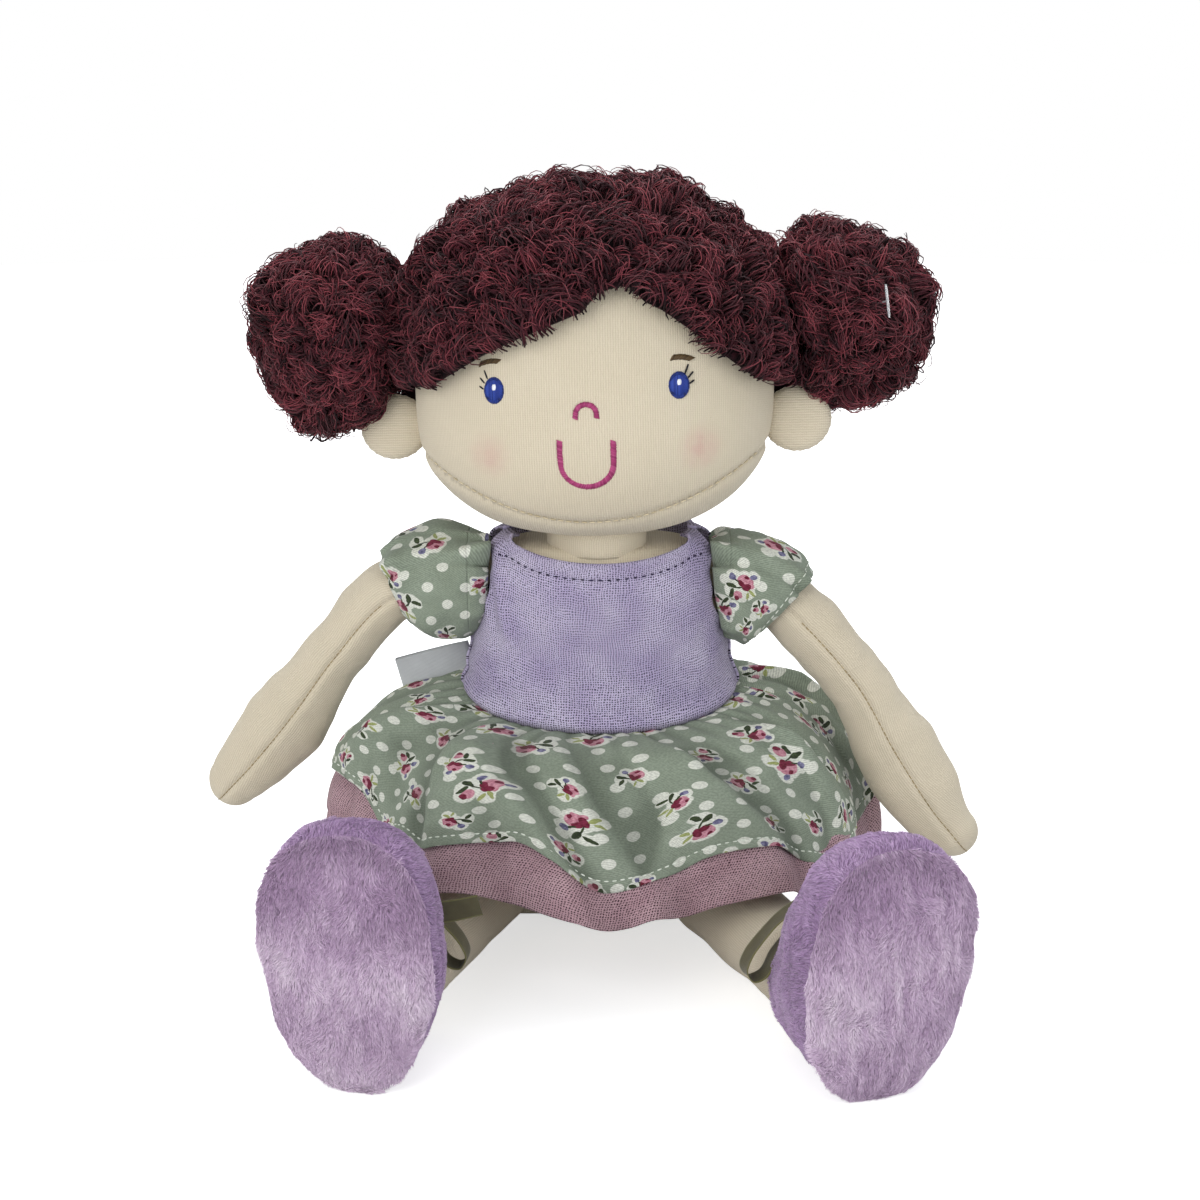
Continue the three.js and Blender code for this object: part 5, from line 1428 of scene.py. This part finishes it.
def pleats(angle, drop):
    """How far the gathered cloth stands out: uneven ridges that open towards the hem, and a few
    deeper slanting folds that fall away steeply on one side."""
    total = np.zeros(np.broadcast(angle, drop).shape)
    for at, high, start, wide, drift in zip(
        pleat_angles, pleat_heights, pleat_starts, pleat_widths, pleat_drifts
    ):
        apart = turned_from(angle - at, drift * drop)
        lean = 1 + 0.55 * np.tanh(apart / wide * 2)
        rise = np.clip((drop - start * 0.35) / 0.35, 0, 1)
        total += high * bell(apart, wide * (0.5 + 0.6 * drop) * lean) * rise * (0.5 + 0.5 * drop)
    for first, last, high, wide in deep_folds:
        middle = np.radians(first + (last - first) * drop)
        apart = turned_from(angle, middle) * math.copysign(1, first - last)
        steep = np.where(apart < 0, wide * (0.22 + 0.2 * drop), wide)
        total += high * bell(apart, steep) * np.clip(drop * 3, 0, 1) * (1.1 - 0.35 * drop)
    gathers = np.sin(angle * 47 + 1.6 * np.sin(angle * 9)) * bell(drop - 0.06, 0.16) * 0.3
    return total + gathers


def skirt_grid(columns, rows, inset, table, grow):
    """A skirt's points from waist to hem, the way each one faces, and how far its folds stand out."""
    angle = np.linspace(0, 2 * math.pi, columns, endpoint=False)[None]
    drop = (np.linspace(0, 1, rows) ** 0.85)[:, None]
    hem = hem_at(angle, table, grow)
    seam = waist_height(angle) - 0.4 * mm
    wide, deep = torso_at(seam)
    gap = 1.3 * mm
    waist = np.stack([(wide + gap) * np.cos(angle), (deep + gap) * np.sin(angle), seam], -1)
    out = 0.8 * np.sin(drop * math.pi / 2) + 0.2 * drop
    down = 1 - np.cos(drop * math.pi / 2)
    away = unit((hem - waist) * [1, 1, 0])
    share = np.stack([out, out, down], -1)
    grid = waist * (1 - share) + hem * share
    skirt_hem = hem_at(angle, skirt_table, 0.0)[..., 2]
    level = (seam - grid[..., 2]) / (seam - skirt_hem)
    drop = np.arccos(1 - np.clip(level, 0, 1)) * 2 / math.pi + np.clip(level - 1, 0, None) * 0.3
    flare = 1 - 0.3 * out
    slope = unit(np.stack([away[..., 0] * flare, away[..., 1] * flare, np.full(grid.shape[:2], 0.65)], -1))
    folds = pleats(angle, drop) * pleat_depth
    unevenness = np.stack([angle * 0.05 + 0 * drop, drop * 0.06 + 0 * angle, 0 * angle * drop], -1)
    folds = folds + 0.5 * mm * ripple(unevenness, 6 * mm, 111) * np.clip(drop * 3, 0, 1)
    if inset == 0:
        folds += 0.2 * mm * np.clip((drop - 0.94) / 0.01, 0, 1) - 0.35 * mm * bell(drop - 0.935, 0.012)
    grid = grid + slope * (folds - pleat_middle * drop - inset * np.clip(drop * 6, 0.35, 1))[..., None]
    return grid, slope, folds


def paint_fold_shade(piece, folds, most):
    """Paints shade into the cloth's colour: notes how deep each point lies between the folds beside it, and
    the colour goes that much darker there as painted shade in the creases.
    """
    around = sum(np.roll(folds, step, 1) for step in range(-14, 15)) / 29
    depth = most * np.clip((around - folds) / (1.9 * mm), 0, 1)
    kept = piece.data.attributes.new("painted_fold_shade", "FLOAT", "POINT")
    kept.data.foreach_set("value", depth.ravel().astype(np.float32))


def cone_flat(grid, columns):
    """Where each point lies on the cloth: an annular piece with about the skirt's own fullness."""
    drops = np.linalg.norm(np.diff(joined_round(grid), axis=0), axis=2).mean(1)
    along = 52 * mm + np.concatenate([[0], np.cumsum(drops)])
    turn = np.linspace(0, 2 * math.pi * 0.78, columns + 1)
    return np.stack([along[:, None] * np.cos(turn), along[:, None] * np.sin(turn)], 2)


grid, slope, folds = skirt_grid(620, 80, 0.0, skirt_table, 0.0)
skirt = thick(surface("skirt_cloth", grid, sprigged, wrap=True, flat=cone_flat(grid, 620)), skirt_thickness)
# Painted shade in the skirt's creases between its folds.
paint_fold_shade(skirt, folds, 0.45)
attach(skirt, "torso")
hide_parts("skirt")
hem_line = grid[-6] + slope[-6] * 0.35 * mm
hem_thread = (2.7 * mm, 1.9 * mm, 0.55 * mm, hem_white, "torso")
hem_stitches = stitch_row("skirt_hem_stitches", hem_line, slope[-6], *hem_thread, closed=True)
mauve = gauze_material("mauve_gauze", "b4929a", "351c25", "d0b0b6", 0.98 * mm, 1.0, 0.6, 0.36)
under_grid, _, folds = skirt_grid(620, 79, 1.9 * mm, petticoat_table, 3.5 * mm)
petticoat = thick(surface("petticoat_cloth", under_grid, mauve, wrap=True), petticoat_thickness)
# Lighter painted shade in the petticoat's creases between its folds.
paint_fold_shade(petticoat, folds, 0.2)
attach(petticoat, "torso")
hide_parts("petticoat")

# Puffed sleeves of the same print: gathered into the armhole and again into a stitched hem that
# hugs the arm. Each bends between the shoulder and the arm.
sleeve_hem_share = {"right": 0.22, "left": 0.2}
sleeve_thickness = 0.6 * mm
sleeve_root_radius = 13.4 * mm
sleeve_full_radius = 20.4 * mm
full_at_shares = [0, 0.12, 0.28, 0.5, 0.72, 0.88, 0.95, 1]
full_shares = [0.5, 0.8, 0.95, 1, 0.96, 0.72, 0.42, 0.2]
armhole_seam_gap = 2.6 * mm
sleeve_tuck_count = 13
sleeve_cloth_round = 128 * mm
print_step = 0.31
for side, sign in (("right", -1), ("left", 1)):
    route = arm_lines[side]
    stop = int(round(sleeve_hem_share[side] * (len(route) - 1)))
    hem_centre = route[stop]
    hem_way = unit(route[stop + 1] - route[stop - 1])
    angles = round_turns(180)
    y = 12 * mm * np.cos(angles)
    z = armhole_height + armhole_half_height * np.sin(angles)
    wide, deep = torso_at(z)
    bulge = np.sqrt(np.clip(1 - (y / (deep + armhole_seam_gap)) ** 2, 0.05, 1))
    root_ring = np.stack([sign * (wide + armhole_seam_gap) * bulge, y, z], 1)
    start = np.array([sign * 40, 0, 132]) * mm
    shares = np.linspace(0, 1, 64)
    fullness = np.interp(shares, full_at_shares, full_shares)
    fullness = np.convolve(np.pad(fullness, 3, mode="edge"), np.ones(7) / 7, "valid")
    rows = []
    for share, full in zip(shares, fullness):
        radius = sleeve_root_radius * (1 - full) + sleeve_full_radius * full
        centre = start * (1 - share) + hem_centre * share
        centre[2] += (armhole_height - hem_centre[2]) * 0.35 * math.sin(share * math.pi)
        way = unit(np.array([sign, 0, 0]) * (1 - share**2) + hem_way * share**2)
        deep_way = unit(np.array([0, 1, 0]) - way * way[1])
        high_way = np.cross(way, deep_way) * sign
        spokes = deep_way * np.cos(angles)[:, None] + high_way * np.sin(angles)[:, None]
        blend = np.clip(1 - share / 0.3, 0, 1) ** 2
        rows.append(root_ring * blend + (centre + spokes * radius) * (1 - blend))
    grid = np.array(rows)
    out = unit(grid - grid.mean(1, keepdims=True))
    dice = np.random.default_rng(130 + sign)
    tucks = np.zeros(len(angles))
    for _ in range(sleeve_tuck_count):
        at, tuck_width, high = dice.uniform(0, 2 * math.pi), dice.uniform(0.06, 0.16), dice.uniform(0.5, 1.2)
        tucks += high * bell(turned_from(angles, at), tuck_width)
    front_top = turned_from(angles, 2.55)
    tucks += 2.4 * bell(front_top + 0.22, 0.17) - 2.6 * bell(front_top, 0.09)
    near_root = bell(shares - 0.02, 0.2)[:, None]
    near_hem = bell(shares - 0.97, 0.13)[:, None]
    relief = tucks[None] * (near_root * 2.1 + near_hem * 1.1 + 0.25) * mm
    relief = relief + 0.9 * mm * ripple(grid, 12 * mm, 141 + sign) + 0.3 * mm * ripple(grid, 4.5 * mm, 151)
    grid = grid + out * (relief - 1.3 * mm)[..., None]
    drops = np.linalg.norm(np.diff(grid, axis=0), axis=2).mean(1)
    v = np.concatenate([[0], np.cumsum(drops)])
    u = (np.arange(181) / 180 - 0.5) * sleeve_cloth_round + print_step * (sign + 2)
    flat = np.stack([np.broadcast_to(u, (64, 181)), np.repeat(v[:, None], 181, 1)], 2)
    sleeve = surface(f"sleeve_{side}_cloth", grid[13:], sprigged, wrap=True, flat=flat[13:])
    thick(sleeve, sleeve_thickness)
    armhole = surface(f"sleeve_{side}_armhole", grid[:14], sprigged, wrap=True, flat=flat[:14])
    thick(armhole, sleeve_thickness)
    sleeve_thread = (2.8 * mm, 1.8 * mm, 0.4 * mm, hem_white, f"arm_{side}")
    sleeve_line = grid[-6] + out[-6] * 0.12 * mm
    stitches = stitch_row(f"sleeve_stitches_{side}", sleeve_line, out[-6], *sleeve_thread, closed=True)
    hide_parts(f"sleeve_{side}")
    for piece in (sleeve, arms[side]):
        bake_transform(piece)
    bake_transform(armhole)

# Care label: a blank strip of white satin tape, folded in half and caught by both ends in the
# bodice's side seam on the doll's right.
satin_tape = Shader("label_satin", 0.38)
tape_place = satin_tape.cloth_place()
ribs = satin_tape.waves(satin_tape.split(tape_place)[1], 0.4 * mm)
satin_tape.colour(satin_tape.mix(satin_tape.noise(tape_place, 140, 3), "b4b7ba", "cdd0d2"))
satin_tape.bump(ribs, 0.04 * mm)
label_low, label_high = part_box("care_label")
label_root = np.array([label_high.x + 0.6 * mm, (label_low.y + label_high.y) / 2, 96 * mm])
label_width = 11.6 * mm
label_reach = 27 * mm
label_opening = 1.25 * mm
run = np.linspace(-1, 1, 60)
reach = label_reach * (1 - np.abs(run) ** 2.4)
leaf = np.sign(run) * label_opening * np.clip(1 - np.abs(run) ** 10, 0, 1) * (1 - 0.2 * bell(run, 0.1))
leaf[np.abs(run) < 0.05] = run[np.abs(run) < 0.05] / 0.05 * label_opening
widths = np.linspace(0, label_width, 14)
lean = math.radians(15)
grid = np.empty((60, 14, 3))
grid[..., 0] = label_root[0] - (reach * math.cos(lean))[:, None] - widths * math.sin(lean)
grid[..., 1] = label_root[1] + leaf[:, None] + 0.5 * mm * np.sin(reach / label_reach * 3)[:, None]
grid[..., 2] = label_root[2] - (reach * math.sin(lean))[:, None] + widths * math.cos(lean)
label = thick(surface("care_label_tape", grid, satin_tape.material), 0.25 * mm, 0.0)
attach(label, "torso")
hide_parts("care_label")

# Ribbon bows: dark olive satin ribbon tied behind each slipper's throat, with two loops, two
# loose tails and a knot. The woven edges are paler, and the ribbon curls a little at each bend.
ribbon = Shader("olive_ribbon", 0.42, sheen=0.2)
ribbon_split = ribbon.split(ribbon.cloth_place())
selvedge = ribbon.ranged(ribbon.math("ABSOLUTE", ribbon_split[0]), 3.05 * mm, 3.4 * mm)
olive = ribbon.mix(ribbon.noise(ribbon.cloth_place(), 210, 3), "4a4630", "686346")
ribbon.colour(ribbon.mix(ribbon.times(selvedge, 0.75), olive, "7d7a4a"))
ribbon.bump(ribbon.waves(ribbon_split[1], 0.35 * mm), 0.05 * mm)
ribbon.finish({"Anisotropic": 0.4})
ribbon_width = 7.4 * mm
ribbon_thickness = 0.35 * mm
ribbon_cup = 0.25 * mm


def ribbon_strip(name, line, side_way, twist, body):
    """A ribbon along a line: its width lies along side_way, turned by twist at each point."""
    line = smooth_route(line, 90)
    forward = unit(np.gradient(line, axis=0))
    side_way = np.asarray(side_way, float)
    wide = unit(side_way - (forward @ side_way)[:, None] * forward)
    turn = np.interp(np.linspace(0, 1, 90), np.linspace(0, 1, len(twist)), twist)[:, None]
    wide = wide * np.cos(turn) + np.cross(forward, wide) * np.sin(turn)
    shares = np.linspace(-1, 1, 17)
    across = shares * ribbon_width / 2
    cup = (1 - shares**2) * ribbon_cup
    face = np.cross(forward, wide)
    grid = line[:, None] + wide[:, None] * across[:, None] + face[:, None] * cup[:, None]
    flat = np.stack([np.broadcast_to(across, (90, 17)), np.repeat(run_along(line)[:, None], 17, 1)], 2)
    piece = thick(surface(name, grid, ribbon.material, flat=flat), ribbon_thickness, 0.0)
    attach(piece, body)
    return piece


inner_loop = (
    (1.5, 0, 0.8), (8, 0.4, 1.4), (14.5, 0.8, -2.2), (20.5, 0.8, -8), (25.5, 0.5, -14.2), (27, 0, -18.6),
    (24.8, -0.6, -21.8), (20.5, -0.9, -20.4), (17, -0.8, -14), (9, -0.4, -6), (1.5, 0, -1.4),
)
outer_loop = (
    (1.5, 0, 1.0), (8, 0.6, 3.4), (17, 1.0, 3.0), (25, 0.6, -1.2), (29, 0, -7.4),
    (24, -0.6, -9.4), (16, -0.8, -7.0), (8, -0.3, -4.0), (1.5, 0, -1.0),
)
tail_outlines = {
    ("right", 1): (((1, -2, -4.4), (10, -3.4, -3.4), (21, -4.0, -2.0), (32, -3.4, 0.6)), (0, 0, 1)),
    ("right", -1): (((-1, 0, -1.2), (-6, 0.6, -5.0), (-11, 0.2, -8.6), (-16, -0.6, -11.0)), None),
    ("left", 1): (((1, 0, -1.2), (6, 0.6, -4.0), (12, 0.2, -7.6), (18, -0.6, -10.0)), None),
    ("left", -1): (((-1, 1, 1.2), (-5, 2.6, 0.8), (-9, 3.4, -1.2), (-13, 3.6, -4.0)), None),
}
knot_place = np.array([0, 45.3, 46.5]) * mm
knot_half_width = 2.6
knot_half_height = 2.9
knot_turns = np.linspace(0, 2 * math.pi, 13)
knot_ring = np.stack([np.cos(knot_turns), 0 * knot_turns, np.sin(knot_turns)], 1)
knot_ring = knot_ring * [knot_half_width, 0, knot_half_height]
loop_twist = (0.0, 0.12, 0.0, -0.12, 0.0)
tail_twist = (0.0, -0.1, 0.12)
knot_twist = (0.0, 0.1, 0.0)
for side in ("right", "left"):
    place = foot_places[side].copy()
    place[:3, 3] = moved(knot_place, place)
    depth_way = place[:3, :3] @ np.array([0, 1, 0])
    inner_end = {"right": 1, "left": -1}[side]
    for end, letter in ((-1, "a"), (1, "b")):
        loop = np.array(inner_loop if end == inner_end else outer_loop) * [end, 1, 1]
        loop_line = moved(loop * mm, place)
        ribbon_strip(f"bow_loop_{side}_{letter}", loop_line, depth_way, loop_twist, f"foot_{side}")
        tail, width_way = tail_outlines[side, end]
        tail_line = moved(np.array(tail) * mm, place)
        tail_way = depth_way if width_way is None else width_way
        ribbon_strip(f"bow_tail_{side}_{letter}", tail_line, tail_way, tail_twist, f"foot_{side}")
    knot_line = moved(knot_ring * mm, place)
    knot = ribbon_strip(f"bow_knot_{side}", knot_line, depth_way, knot_twist, f"foot_{side}")
    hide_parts(f"bow_{side}")

bpy.context.view_layer.update()
low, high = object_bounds()
